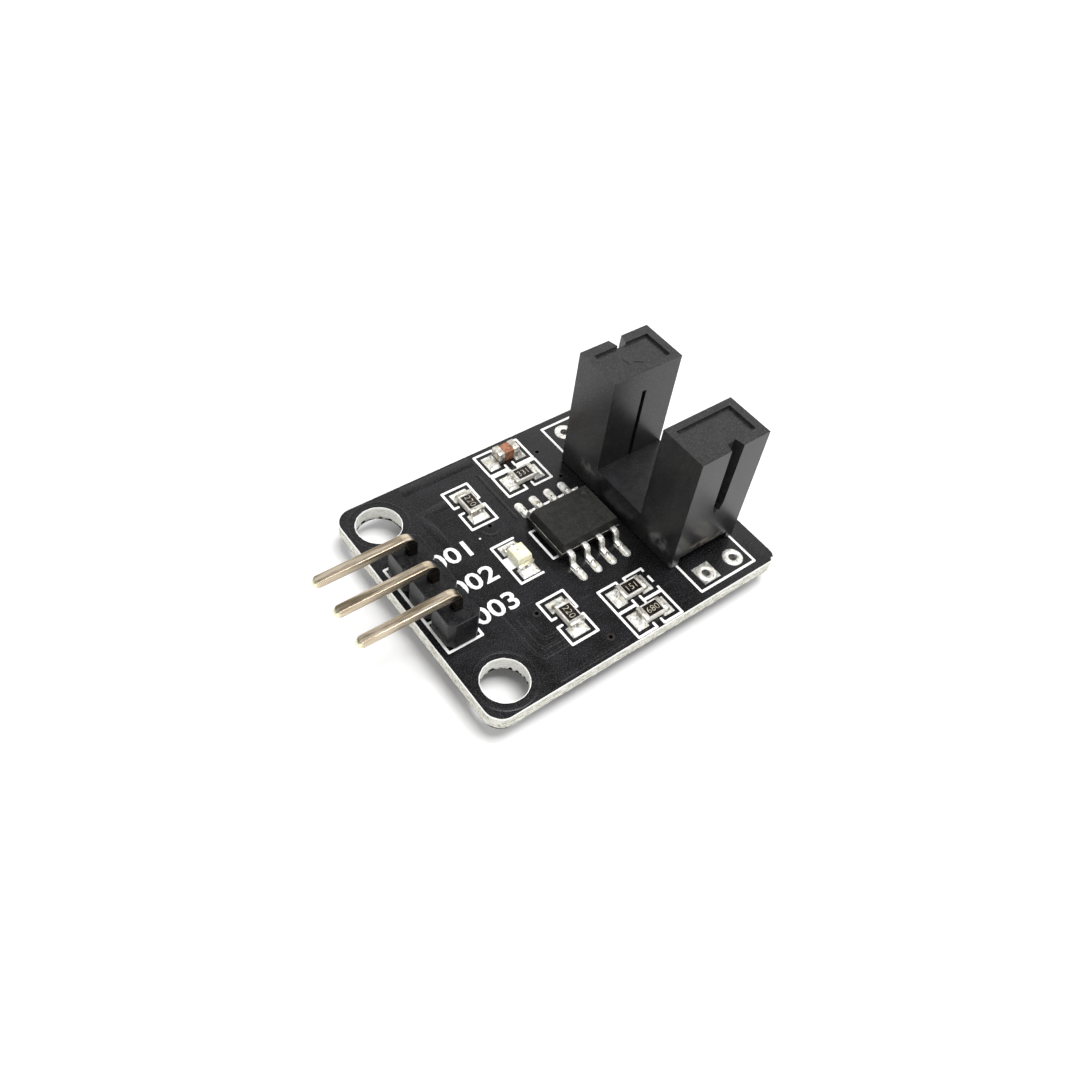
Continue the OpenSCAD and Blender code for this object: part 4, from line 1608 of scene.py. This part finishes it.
@dataclass
class Tracks:
    """Copper tracks that stand out faintly under the mask, as ribbons that follow paths.

    Attributes:
        height: How far the mask is raised over a track.
        slope: How much narrower a ribbon is on top, on each side.
        crown: Least width of its top.
        narrow: Width of a signal track.
        wide: Width of a supply track.
        hole_ring_r: Radius of the copper ring round a mounting hole.
        hole_ring_steps: Points round that ring.
        via: The via that a track bends round.
        via_gap: Radius of the bend.
    """

    height: float = 0.011
    slope: float = 0.09
    crown: float = 0.02
    narrow: float = 0.3
    wide: float = 0.85
    hole_ring_r: float = 2.07
    hole_ring_steps: int = 60
    via: Point = (8.69, 12.94)
    via_gap: float = 0.85

    def routes(self) -> dict[float, list[list[Point]]]:
        """Lays out the tracks on the top face.

        Returns:
            The paths of the tracks, by width.
        """
        pin = [BOARD.box(f"header_pin_{i}") for i in (1, 2, 3)]
        pin_x = pin[0][1].x
        pin_y = [(low.y + high.y) / 2 for low, high in pin]
        x, y = self.via
        angles = [math.radians(a) for a in range(190, 351, 20)]
        bend = [(x + self.via_gap * math.cos(a), y + self.via_gap * math.sin(a)) for a in angles]
        return {
            self.wide: [
                [(pin_x, pin_y[0]), (5.3, pin_y[0]), (5.15, 14.8), (5.2, 16.15), (7.9, 16.15)],
                [(5.15, 18.65), (11.0, 18.65)],
            ],
            self.narrow: [
                bend,
                [(10.65, 17.3), (10.65, 12.5)],
                [(pin_x, pin_y[2]), (4.6, pin_y[2]), (4.9, 6.0), (5.05, 2.9), (5.45, 2.3), (7.9, 2.3)],
                [(6.05, 5.4), (6.1, 3.7), (6.4, 3.42), (7.5, 3.42)],
                [(5.5, 5.6), (5.55, 3.3), (5.8, 2.86), (7.5, 2.86)],
                [(5.1, 0.45), (10.35, 0.45)],
                [(15.27, 0.92), (17.4, 0.92)],
                [(14.91, 2.6), (16.4, 2.6)],
            ],
        }

    def underside(self) -> dict[float, list[list[Point]]]:
        """Lays out the few tracks on the bottom face.

        Returns:
            The paths of the tracks, by width.
        """
        return {
            self.wide: [
                [(1.85, 12.2), (6.0, 12.2), (9.0, 9.2), (18.4, 5.1)],
                [(1.85, 7.1), (8.0, 7.1), (11.0, 4.1), (20.9, 5.1)],
            ],
            self.narrow: [
                [(1.85, 9.65), (7.5, 9.65), (8.7, 12.95)],
                [(7.0, 5.3), (9.9, 1.25)],
                [(8.7, 12.95), (12.0, 14.1), (15.8, 14.1)],
                [(15.75, 16.95), (17.4, 15.2), (18.4, 13.5)],
                [(17.1, 8.15), (18.6, 11.4), (21.0, 13.5)],
            ],
        }

    def build(self) -> None:
        """Builds the ribbons of both faces and the rings round the mounting holes."""
        top_parts = [self.ribbon(width, paths, 0.0, 1) for width, paths in self.routes().items()]
        top_parts.append(self.ribbon(self.slope * 2, self.rings(), 0.0, 1))
        bottom = -BOARD.size.z
        under_parts = [self.ribbon(width, paths, bottom, -1) for width, paths in self.underside().items()]
        for name, parts in (("tracks_top", top_parts), ("tracks_bottom", under_parts)):
            place_piece(name, joined(parts), FINISH.mask)

    def rings(self) -> list[list[Point]]:
        """Lays out the copper ring round each mounting hole.

        Returns:
            The path of each ring, which ends where it starts.
        """
        rings = [circle(hole, self.hole_ring_r, self.hole_ring_steps) for hole in BOARD.mounting_holes()[0]]
        return [ring + ring[:1] for ring in rings]

    def ribbon(self, width: float, paths: Sequence[Sequence[Point]], level: float, side: int) -> Mesh:
        """Sweeps a flat ribbon with sloping sides along paths, with Geometry Nodes.

        Args:
            width: Width of the ribbon at its foot.
            paths: The paths.
            level: Height of the face that it lies on.
            side: 1 on the top face and -1 underneath.

        Returns:
            The ribbons as one mesh.
        """
        curve = bpy.data.curves.new("paths", "CURVE")
        curve.dimensions = "3D"
        for path in paths:
            spline = curve.splines.new("POLY")
            spline.points.add(len(path) - 1)
            for point, (x, y) in zip(spline.points, path):
                point.co = (*BOARD.at(x, y, level), 1.0)
        recipe = NodeRecipe("track_ribbon")
        recipe.ask("Foot Width", "Float", width * MM)
        recipe.ask("Top Width", "Float", max(width - 2 * self.slope, self.crown) * MM)
        recipe.ask("Height", "Float", self.height * MM)
        start = recipe.begin()
        graph = recipe.graph
        profile = graph.add(
            "GeometryNodeCurvePrimitiveQuadrilateral",
            {
                "Bottom Width": start.outputs["Foot Width"],
                "Top Width": start.outputs["Top Width"],
                "Height": start.outputs["Height"],
                "Offset": 0.0,
            },
            mode="TRAPEZOID",
        ).outputs[0]
        shift = (0.0, -side * self.height * MM / 2, 0.0)
        turn = (math.pi if side > 0 else 0.0, 0.0, 0.0)
        turned = graph.add(
            "GeometryNodeTransform", {"Geometry": profile, "Translation": shift, "Rotation": turn}
        ).outputs[0]
        upright = graph.add("GeometryNodeSetCurveNormal", {"Curve": start.outputs["Geometry"]}, mode="Z_UP")
        swept = graph.add(
            "GeometryNodeCurveToMesh",
            {"Curve": upright.outputs[0], "Profile Curve": turned, "Fill Caps": True},
        )
        recipe.end(swept.outputs[0], FINISH.mask)
        return recipe.run(curve)


@dataclass(frozen=True)
class Lettering:
    """Numbers made as thin printed solids.

    Attributes:
        height: Height of a digit.
        weight: How much bolder than plain the strokes are.
        stretch: How much wider than plain the digits are.
        thickness: Thickness of the print.
        digit_share: Height of a digit as a share of the type size.
        outline_steps: Points along each curved stretch of a digit.
    """

    height: float
    weight: float
    stretch: float = 1.0
    thickness: float = 0.02
    digit_share: float = 0.73
    outline_steps: int = 3

    def number(self, digits: str, centre: Vector, turn: float = 0.0) -> Mesh:
        """Makes one number, lying flat.

        Args:
            digits: The digits.
            centre: The middle of the number, in the board's frame, at the height it is printed on.
            turn: Turn about z, in degrees.

        Returns:
            The number's mesh in the row frame.
        """
        text = bpy.data.curves.new("number", "FONT")
        text.body = digits
        text.align_x = "CENTER"
        text.size = self.height / self.digit_share
        text.extrude = self.thickness / 2
        text.offset = self.weight
        text.resolution_u = self.outline_steps
        mesh = baked(held(text))
        spot = BOARD.at(centre.x, centre.y, centre.z + self.thickness / 2)
        shift = Matrix.Translation(Vector((0.0, -self.height / 2, 0.0)))
        widened = Matrix.Diagonal((self.stretch, 1.0, 1.0, 1.0))
        turned = Matrix.Rotation(math.radians(turn), 4, "Z") @ widened @ shift
        mesh.transform(Matrix.Translation(spot) @ Matrix.Scale(MM, 4) @ turned)
        return mesh


@dataclass
class PrintedBoard:
    """The board with its films, copper and print.

    Attributes:
        legend: Lettering of the numbers beside the header pins.
        legend_x: Middle of those numbers.
    """

    legend: Lettering = Lettering(height=1.4, weight=0.03, stretch=1.2)
    legend_x: float = 5.05

    def build(self) -> None:
        """Builds the laminate, the tracks and the numbers, and dresses the films and copper."""
        Laminate().build()
        Tracks().build()
        dress(FINISH.mask, "mask_top", "mask_bottom")
        dress(FINISH.ink, "printed_outlines")
        dress(FINISH.copper, "vias")
        dress(FINISH.tin, "header_plated_holes", "sensor_plated_holes", "spare_plated_holes")
        dress(FINISH.tin, "comparator_pads", "chip_pads")
        LandSolder().build()
        self.legends()

    def legends(self) -> None:
        """Prints a plain number beside each header pin."""
        numbers = []
        for i in (1, 2, 3):
            low, high = BOARD.box(f"header_pin_{i}")
            centre = Vector((self.legend_x, (low.y + high.y) / 2, 0.0))
            numbers.append(self.legend.number(f"00{i}", centre))
        place_piece("pin_numbers", joined(numbers), FINISH.ink)


@dataclass
class LandSolder:
    """The domed tin on the spare lands, thin at their rims and round their holes.

    Attributes:
        rise: Height of the dome over the land.
        fullness: How square the dome's section is: 1 for a plain wave, less for a fuller one.
        mouth: How much of the bore's radius the tin leaves open.
        margin: Bare rim left at the land's edge.
        sunk: How far the underside lies inside the land.
        wobble: How uneven the tin is.
        steps: Points round a land.
        rows: Points across the dome.
    """

    rise: float = 0.06
    fullness: float = 0.7
    mouth: float = 0.72
    margin: float = 0.03
    sunk: float = 0.001
    wobble: float = 0.015
    steps: int = 40
    rows: int = 8

    def build(self) -> None:
        """Builds a domed ring on each spare land and repeats it."""
        node = "spare_plated_holes"
        solids = islands(node)
        low, high = solids[-1]
        reach = (high.x - low.x) / 2
        land_r = reach - self.margin
        bore_r = radii(node, (low + high).xy / 2, reach)[0] * self.mouth
        grid = bmesh.new()
        loops = []
        for k in range(self.rows + 1):
            share = k / self.rows
            radius = bore_r + (land_r - bore_r) * share
            level = self.rise * math.sin(math.pi * share) ** self.fullness
            loops.append(loop_at(grid, circle((0.0, 0.0), radius, self.steps), level))
        for radius in (land_r, bore_r):
            loops.append(loop_at(grid, circle((0.0, 0.0), radius, self.steps), -self.sunk))
        bridge(grid, loops + loops[:1])
        mesh = SolderCopies("spare_land_tin", self.wobble, seed=7).over(solids, mesh_of(grid))
        place_piece("spare_land_tin", mesh, FINISH.solder)


@dataclass
class SolderCones:
    """Solder cones under the board, where leads stand out of their plated holes.

    Attributes:
        tip: Radius of the cone where it ends on the lead, as a share of its foot's.
        waist: How hollow the cone's side is, from 0 for straight.
        wobble: How uneven the cones are.
        crease: Turn from which an edge stays sharp, in degrees.
        steps: Points round a cone.
        rows: Rows of points up a cone.
    """

    tip: float
    waist: float = 0.55
    wobble: float = 0.035
    crease: float = 50.0
    steps: int = 32
    rows: int = 10

    def build(self, node: str, name: str, seed: int) -> None:
        """Replaces the joints of one node by smooth cones.

        Args:
            node: The CAD node of the joints.
            name: The new piece's name.
            seed: Seed of their unevenness.
        """
        solids = islands(node)
        low, high = solids[0]
        bottom = -BOARD.size.z
        foot_r = (high.x - low.x) / 2
        drop = bottom - low.z
        grid = bmesh.new()
        loops = []
        for k in range(self.rows + 1):
            share = k / self.rows
            radius = foot_r * (1 + (self.tip - 1) * share ** (1 - self.waist * (1 - share)))
            loops.append(loop_at(grid, circle((0.0, 0.0), radius, self.steps), bottom - drop * share))
        bridge(grid, loops)
        grid.faces.new(loops[0])
        grid.faces.new(loops[-1])
        mesh = SolderCopies(name, self.wobble, seed, crease=self.crease).over(solids, mesh_of(grid))
        place_piece(name, mesh, FINISH.solder, [node])


@dataclass
class PinHeader:
    """The angled three-way header.

    Attributes:
        pin_edge: Edge radius of a pin.
        moulding_edge: Edge radius of the insulator.
    """

    pin_edge: float = 0.04
    moulding_edge: float = 0.06

    def build(self) -> None:
        """Builds the insulator and the three pins, and the solder under the board."""
        insulator = "header_insulator"
        soften(insulator, f"{insulator}_moulding", FINISH.header, self.moulding_edge)
        for i in (1, 2, 3):
            soften(f"header_pin_{i}", f"header_pin_{i}_plated", FINISH.plating, self.pin_edge)
        SolderCones(tip=0.5).build("header_joints", "header_solder", seed=3)


@dataclass
class SlottedSensor:
    """The slotted housing with the emitter and the detector.

    Attributes:
        edge: Edge radius of the housing.
        lead_edge: Edge radius of a lead.
    """

    edge: float = 0.05
    lead_edge: float = 0.03

    def build(self) -> None:
        """Builds the housing, the packages, their leads and the solder under the board."""
        soften("sensor_housing", "sensor_housing_moulding", FINISH.housing, self.edge)
        dress(FINISH.emitter, "emitter_package")
        dress(FINISH.detector, "detector_package")
        for side in ("emitter", "detector"):
            for i in (1, 2):
                lead = f"{side}_lead_{i}"
                soften(lead, f"{lead}_tinned", FINISH.lead, self.lead_edge)
        SolderCones(tip=0.42).build("sensor_joints", "sensor_solder", seed=5)


@dataclass
class Comparator:
    """The eight-lead comparator with its soldered feet.

    Attributes:
        body_edge: Edge radius of the moulded body.
        body_sharpness: Edges of the body that turn by more than this, in degrees, are rounded.
        lead_edge: Edge radius of a lead.
        seam_h: Height of the parting line above the board.
        seam_r: Radius of the fine flash along the parting line.
        bead_top: Height of the solder where it covers the foot's tip.
        bead_rise: Height of the bead along the rest of the pad.
        bead_w: Width of the bead.
        bead_steps: Points along and round the bead.
        bead_rings: Rings of points over it.
        foot_cover: How much of the foot the bead covers.
        cover_reach: How far from the foot's tip that solder stands up.
        neck: How much of its width the bead has where it starts.
        widening: Length over which it widens.
        wobble: How uneven the beads are.
        crease: Turn from which a bead's edge stays sharp, in degrees.
    """

    body_edge: float = 0.05
    body_sharpness: float = 20.0
    lead_edge: float = 0.03
    seam_h: float = 0.87
    seam_r: float = 0.018
    bead_top: float = 0.1
    bead_rise: float = 0.17
    bead_w: float = 0.64
    bead_steps: int = 10
    bead_rings: int = 8
    foot_cover: float = 0.3
    cover_reach: float = 0.2
    neck: float = 0.45
    widening: float = 0.5
    wobble: float = 0.03
    crease: float = 60.0

    def build(self) -> None:
        """Builds the body, the parting line, the leads and the solder beads."""
        soften(
            "comparator_body", "comparator_moulding", FINISH.mould, self.body_edge,
            sharpness=self.body_sharpness,
        )
        for i in range(1, 9):
            lead = f"comparator_lead_{i}"
            soften(lead, f"{lead}_tinned", FINISH.lead, self.lead_edge)
        self.seam()
        self.beads()

    def seam(self) -> None:
        """Adds the thin flash round the body at its parting line, coloured pale as a painted highlight."""
        low, high = BOARD.box("comparator_body")
        curve = bpy.data.curves.new("seam", "CURVE")
        curve.dimensions = "3D"
        curve.bevel_depth = self.seam_r * MM
        curve.bevel_resolution = 1
        spline = curve.splines.new("POLY")
        corners = [(low.x, low.y), (high.x, low.y), (high.x, high.y), (low.x, high.y)]
        spline.points.add(len(corners) - 1)
        spline.use_cyclic_u = True
        for point, (x, y) in zip(spline.points, corners):
            point.co = (*BOARD.at(x, y, self.seam_h), 1.0)
        place_piece("comparator_parting_line", baked(held(curve)), FINISH.flash)

    def beads(self) -> None:
        """Adds a solder bead over each foot and its pad."""
        body_low, body_high = BOARD.box("comparator_body")
        middle_y = (body_low.y + body_high.y) / 2
        places = []
        turns = []
        for i in range(1, 9):
            low, high = BOARD.box(f"comparator_lead_{i}")
            places.append(BOARD.at((low.x + high.x) / 2, middle_y))
            turns.append(90.0 if (low.y + high.y) / 2 > middle_y else -90.0)
        copies = SolderCopies("comparator_solder", self.wobble, seed=11, crease=self.crease)
        mesh = copies.at(places, turns, self.bead(middle_y))
        place_piece("comparator_solder", mesh, FINISH.solder, ["comparator_joints"])

    def bead(self, middle_y: float) -> Mesh:
        """Makes one bead, about the comparator's middle line, with its lead along x.

        Args:
            middle_y: Where the comparator's middle line lies across the board.

        Returns:
            The mesh.
        """
        pad_high = BOARD.box("comparator_pads")[1]
        foot_low, foot_high = BOARD.box("comparator_lead_1")
        pad_out = pad_high.y - middle_y
        foot_out = foot_high.y - middle_y
        half_w = (foot_high.x - foot_low.x) / 2
        start = foot_out - self.foot_cover
        core, rim = obround(pad_out - start, self.bead_w, ((pad_out + start) / 2, 0.0), self.bead_steps)
        shares = [min((x - start) / self.widening, 1.0) for x, _ in rim]
        rim = [(x, y * (self.neck + (1 - self.neck) * share)) for (x, y), share in zip(rim, shares)]

        def height(x: float, y: float, share: float) -> float:
            """Gives the height of the bead: a long mound, a little higher over the foot's tip.

            Args:
                x: How far the point lies from the comparator's middle line.
                y: How far it lies from the lead's middle line.
                share: From 0 on the bead's spine to 1 at its rim.

            Returns:
                The height.
            """
            beside = max(abs(y) - half_w, 0.0)
            cover = math.exp(-((math.hypot(x - foot_out, beside) / self.cover_reach) ** 2))
            return math.sqrt(1 - share**2) * (self.bead_rise + self.bead_top * cover)

        return mound(core, rim, self.bead_rings, height)


@dataclass(frozen=True)
class Chip:
    """Where one two-ended chip part lies.

    Attributes:
        node: A CAD node that spans the whole chip, terminals included.
        climb: How far solder climbs its ends, as a share of their height.
    """

    node: str
    climb: float

    def span(self) -> tuple[Vector, float, float, float]:
        """Measures the chip in the board's frame.

        Returns:
            Its middle, its length, its width and its turn about z in degrees.
        """
        low, high = BOARD.box(self.node)
        size = high - low
        turn = 0.0 if size.x > size.y else 90.0
        return (low + high) / 2, max(size.x, size.y), min(size.x, size.y), turn

    def climbed(self) -> float:
        """Gives how high solder climbs the chip's ends."""
        return BOARD.box(self.node)[1].z * self.climb


@dataclass
class ChipParts:
    """The resistors, the capacitor and the indicator, with their solder.

    Attributes:
        codes: The numbers on the resistors.
        code: Their lettering.
        edge: Edge radius of a ceramic chip.
        thin_edge: Edge radius of a glaze and of a thin terminal.
        board_edge: Edge radius of the indicator's board.
        lens_edge: Edge radius of the indicator's lens.
        lens_facets: Facets across that edge.
        fleck_off: Where the lens's dark fleck lies, from its middle.
        resistor_climb: How far solder climbs a resistor's ends, as a share of their height.
        capacitor_climb: How far it climbs the capacitor's.
        indicator_climb: How far it climbs the indicator's.
        film: Thickness of the solder that wets a bare pad.
        pad_r: Corner radius of a pad's solder.
        hollow: How far from the chip's end the solder's hollow side reaches.
        side_fall: How many times sooner it falls off beside the chip.
        flatness: How level the film is: more for a steeper rim.
        rings: Rings of points over a pad's solder.
        wobble: How uneven the solder is.
        crease: Turn from which the solder's edge stays sharp, in degrees.
        first_seed: Seed of the first pad's unevenness.
        chips: The chips, as they are built.
    """

    codes: tuple[str, ...] = ("220", "331", "220", "151", "680")
    code: Lettering = Lettering(height=0.5, weight=-0.012, thickness=0.008)
    edge: float = 0.035
    thin_edge: float = 0.012
    board_edge: float = 0.02
    lens_edge: float = 0.05
    lens_facets: int = 3
    fleck_off: Point = (-0.07, 0.17)
    resistor_climb: float = 0.7
    capacitor_climb: float = 0.55
    indicator_climb: float = 0.85
    film: float = 0.08
    pad_r: float = 0.1
    hollow: float = 0.17
    side_fall: float = 1.6
    flatness: int = 6
    rings: int = 12
    wobble: float = 0.05
    crease: float = 60.0
    first_seed: int = 20
    chips: list[Chip] = field(default_factory=list)

    def build(self) -> None:
        """Builds every chip part and its solder."""
        for i in range(1, len(self.codes) + 1):
            self.resistor(f"resistor_{i}")
        self.numbers()
        soften("capacitor_body", "capacitor_ceramic", FINISH.capacitor, self.edge)
        soften("capacitor_terminals", "capacitor_ends", FINISH.terminal, self.edge)
        self.chips.append(Chip("capacitor_terminals", self.capacitor_climb))
        soften("indicator_base", "indicator_board", FINISH.substrate, self.board_edge)
        soften("indicator_terminals", "indicator_ends", FINISH.gold, self.thin_edge)
        self.lens()
        dress(FINISH.die, "indicator_die")
        self.chips.append(Chip("indicator_terminals", self.indicator_climb))
        self.solder()

    def resistor(self, name: str) -> None:
        """Builds one resistor's ceramic, glaze and ends.

        Args:
            name: How its nodes' names start.
        """
        soften(f"{name}_body", f"{name}_ceramic", FINISH.alumina, self.edge)
        soften(f"{name}_overcoat", f"{name}_glaze", FINISH.overcoat, self.thin_edge)
        soften(f"{name}_terminals", f"{name}_ends", FINISH.terminal, self.thin_edge)
        self.chips.append(Chip(f"{name}_terminals", self.resistor_climb))

    def numbers(self) -> None:
        """Prints a plain number on each resistor."""
        numbers = []
        for i, digits in enumerate(self.codes, start=1):
            low, high = BOARD.box(f"resistor_{i}_overcoat")
            centre = (low + high) / 2
            centre.z = high.z
            turn = 0.0 if high.x - low.x > high.y - low.y else -90.0
            numbers.append(self.code.number(digits, centre, turn))
        place_piece("resistor_numbers", joined(numbers), FINISH.code_ink)

    def lens(self) -> None:
        """Builds the indicator's milky lens."""
        low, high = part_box("indicator_lens")
        middle = BOARD.local((low + high) / 2)
        fleck = (middle.x + self.fleck_off[0], middle.y + self.fleck_off[1], BOARD.local(high).z)
        finish = LensFinish(
            "milky_resin", (0.78, 0.76, 0.52), (0.93, 0.92, 0.74), patch=0.5, grain=0.1, relief=0.004,
            rough=(0.2, 0.4), scatter=0.35, fleck=fleck,
        )
        soften("indicator_lens", "indicator_lens_resin", finish, self.lens_edge, self.lens_facets)

    def solder(self) -> None:
        """Adds the solder on the pads and up the ends of every chip part."""
        parts = []
        for index, (low, high) in enumerate(islands("chip_pads")):
            pad = (low + high) / 2
            chip = min(self.chips, key=lambda one: (one.span()[0].xy - pad.xy).length)
            middle, length, width, turn = chip.span()
            back = Matrix.Rotation(math.radians(-turn), 2)
            near, far = (back @ (corner.xy - middle.xy) for corner in (low, high))
            if near.x + far.x < 0:
                near, far, turn = -near, -far, turn + 180.0
            corner_in = Vector((min(near.x, far.x), min(near.y, far.y)))
            corner_out = Vector((max(near.x, far.x), max(near.y, far.y)))
            shape = self.fillet(corner_in, corner_out, length / 2, width / 2, chip.climbed())
            copies = SolderCopies(f"chip_solder_{index}", self.wobble, self.first_seed + index)
            parts.append(copies.at([BOARD.at(middle.x, middle.y)], [turn], shape))
        place_piece("chip_solder", joined(parts, self.crease), FINISH.solder, ["chip_joints"])

    def fillet(self, low: Vector, high: Vector, half_l: float, half_w: float, climb: float) -> Mesh:
        """Makes the solder at one end of a chip, about the chip's middle, with the chip along x.

        Args:
            low: The pad's low corner.
            high: The pad's high corner.
            half_l: Half the chip's length.
            half_w: Half its width.
            climb: How high the solder climbs the end.

        Returns:
            The mesh.
        """
        rim = rounded_box(tuple(low), tuple(high), self.pad_r)
        heart = tuple((low + high) / 2)

        def height(x: float, y: float, share: float) -> float:
            """Gives the height of the solder: thin on the pad and hollow up to the chip.

            Args:
                x: How far the point lies from the chip's middle.
                y: How far it lies from the chip's middle line.
                share: From 0 at the pad's middle to 1 at its rim.

            Returns:
                The height.
            """
            past = max(x - half_l, 0.0)
            beside = max(abs(y) - half_w, 0.0)
            near = math.exp(-math.hypot(past, beside * self.side_fall) / self.hollow)
            return (1 - share**self.flatness) * (self.film + climb * near)

        return mound([heart] * len(rim), rim, self.rings, height)


@dataclass(frozen=True)
class Softbox:
    """One soft light.

    Attributes:
        name: Its name.
        azimuth: Where it stands round the module: 0 is at +x and 90 at +y, in degrees.
        elevation: Its angle above the floor, in degrees.
        distance: Its distance from the module, in metres.
        size: Its width, in metres.
        brightness: What a white surface that faces it would send back.
    """

    name: str
    azimuth: float
    elevation: float
    distance: float
    size: float
    brightness: float

    def build(self, aim: Vector) -> None:
        """Puts the light in place.

        Args:
            aim: The point that it faces.
        """
        light = bpy.data.lights.new(self.name, "AREA")
        light.shape = "SQUARE"
        light.size = self.size
        light.energy = self.brightness * math.pi**2 * self.distance**2
        a, e = math.radians(self.azimuth), math.radians(self.elevation)
        away = Vector((math.cos(a) * math.cos(e), math.sin(a) * math.cos(e), math.sin(e)))
        lamp = bpy.data.objects.new(self.name, light)
        lamp.location = aim + away * self.distance
        lamp.rotation_euler = away.to_track_quat("Z", "Y").to_euler()
        bpy.context.scene.collection.objects.link(lamp)


@dataclass
class Studio:
    """The pale floor, the soft light and the camera.

    Attributes:
        lights: The soft lights.
        band: Strength of the light from low down all round, and from overhead.
        band_ends: Angles above the horizon at which the low light starts and ends fading.
        band_lean: Where the low light is brightest, 0 being +x and 90 +y, and how much so.
        floor_colour: Colour of the floor.
        floor_half: Half the floor's width, in metres.
        camera_mm: Where the camera stands, in the board's frame.
        aim_mm: The point on the board that it looks at.
        roll: How far it is turned about its own axis, in degrees.
        lens: Focal length on the sensor below.
        sensor: Width of the camera's sensor, in millimetres.
        clip: Nearest and farthest that the camera sees, in metres.
    """

    lights: tuple[Softbox, ...] = (
        Softbox("overhead", -22.0, 79.0, 4.0, 2.0, 1.0),
    )
    band: Point = (1.35, 0.12)
    band_ends: Point = (42.0, 54.0)
    band_lean: Point = (45.0, 0.15)
    floor_colour: Colour = (0.86, 0.86, 0.86)
    floor_half: float = 2.0
    camera_mm: Spot = (-20.674, -22.495, 53.765)
    aim_mm: Spot = (10.871, 10.1, 0.0)
    roll: float = 9.235
    lens: float = 34.349
    sensor: float = 36.0
    clip: Point = (0.001, 10.0)

    def build(self) -> None:
        """Builds the floor, the lights, the surroundings and the camera."""
        aim = BOARD.at(*self.aim_mm)
        self.floor()
        for light in self.lights:
            light.build(aim)
        self.surroundings()
        self.camera(aim)
        bpy.context.scene.view_settings.view_transform = "Standard"

    def surroundings(self) -> None:
        """Surrounds the module with a pale band of light that fades out overhead."""
        world = bpy.data.worlds.new("surroundings")
        world.use_nodes = True
        graph = Graph(world.node_tree)
        ahead = graph.add("ShaderNodeTexCoord").outputs["Generated"]
        rise = graph.add("ShaderNodeSeparateXYZ", {0: ahead}).outputs["Z"]
        low, high = (math.sin(math.radians(angle)) for angle in self.band_ends)
        toward, lean = math.radians(self.band_lean[0]), self.band_lean[1]
        brightest = (math.cos(toward), math.sin(toward), 0.0)
        facing = graph.add("ShaderNodeVectorMath", {0: ahead, 1: brightest}, operation="DOT_PRODUCT")
        share = graph.math("MULTIPLY_ADD", facing.outputs["Value"], lean, 1 - lean)
        strength = graph.math("MULTIPLY", graph.span(rise, low, high, *self.band), share)
        background = world.node_tree.nodes["Background"]
        background.inputs["Color"].default_value = (1.0, 1.0, 1.0, 1.0)
        world.node_tree.links.new(strength, background.inputs["Strength"])
        bpy.context.scene.world = world

    def floor(self) -> None:
        """Lays the floor under the lead tails."""
        half = self.floor_half
        corners = [(-half, -half, 0), (half, -half, 0), (half, half, 0), (-half, half, 0)]
        mesh = bpy.data.meshes.new("floor")
        mesh.from_pydata(corners, [], [(0, 1, 2, 3)])
        floor = bpy.data.objects.new("floor", mesh)
        bpy.context.scene.collection.objects.link(floor)
        finish = Finish(
            "pale_floor", self.floor_colour, self.floor_colour, patch=20.0, grain=2.0, relief=0.0,
            rough=(0.6, 0.7), specular=0.2,
        )
        mesh.materials.append(finish.build())

    def camera(self, aim: Vector) -> None:
        """Places the camera at the photograph's viewing angle.

        Args:
            aim: The point that it looks at.
        """
        lens = bpy.data.cameras.new("camera")
        lens.sensor_width = self.sensor
        lens.lens = self.lens
        lens.clip_start, lens.clip_end = self.clip
        camera = bpy.data.objects.new("camera", lens)
        camera.location = BOARD.at(*self.camera_mm)
        ahead = (aim - camera.location).normalized()
        turned = ahead.to_track_quat("-Z", "Y") @ Quaternion((0.0, 0.0, 1.0), math.radians(self.roll))
        camera.rotation_euler = turned.to_euler()
        bpy.context.scene.collection.objects.link(camera)
        bpy.context.scene.camera = camera


def main() -> None:
    """Builds the module, piece by piece, and then the studio."""
    logging.basicConfig(level=logging.INFO, format="%(message)s")
    for assembly in (PrintedBoard(), PinHeader(), SlottedSensor(), Comparator(), ChipParts(), Studio()):
        LOG.info("building %s", type(assembly).__name__)
        assembly.build()


if __name__ == "__main__":
    main()
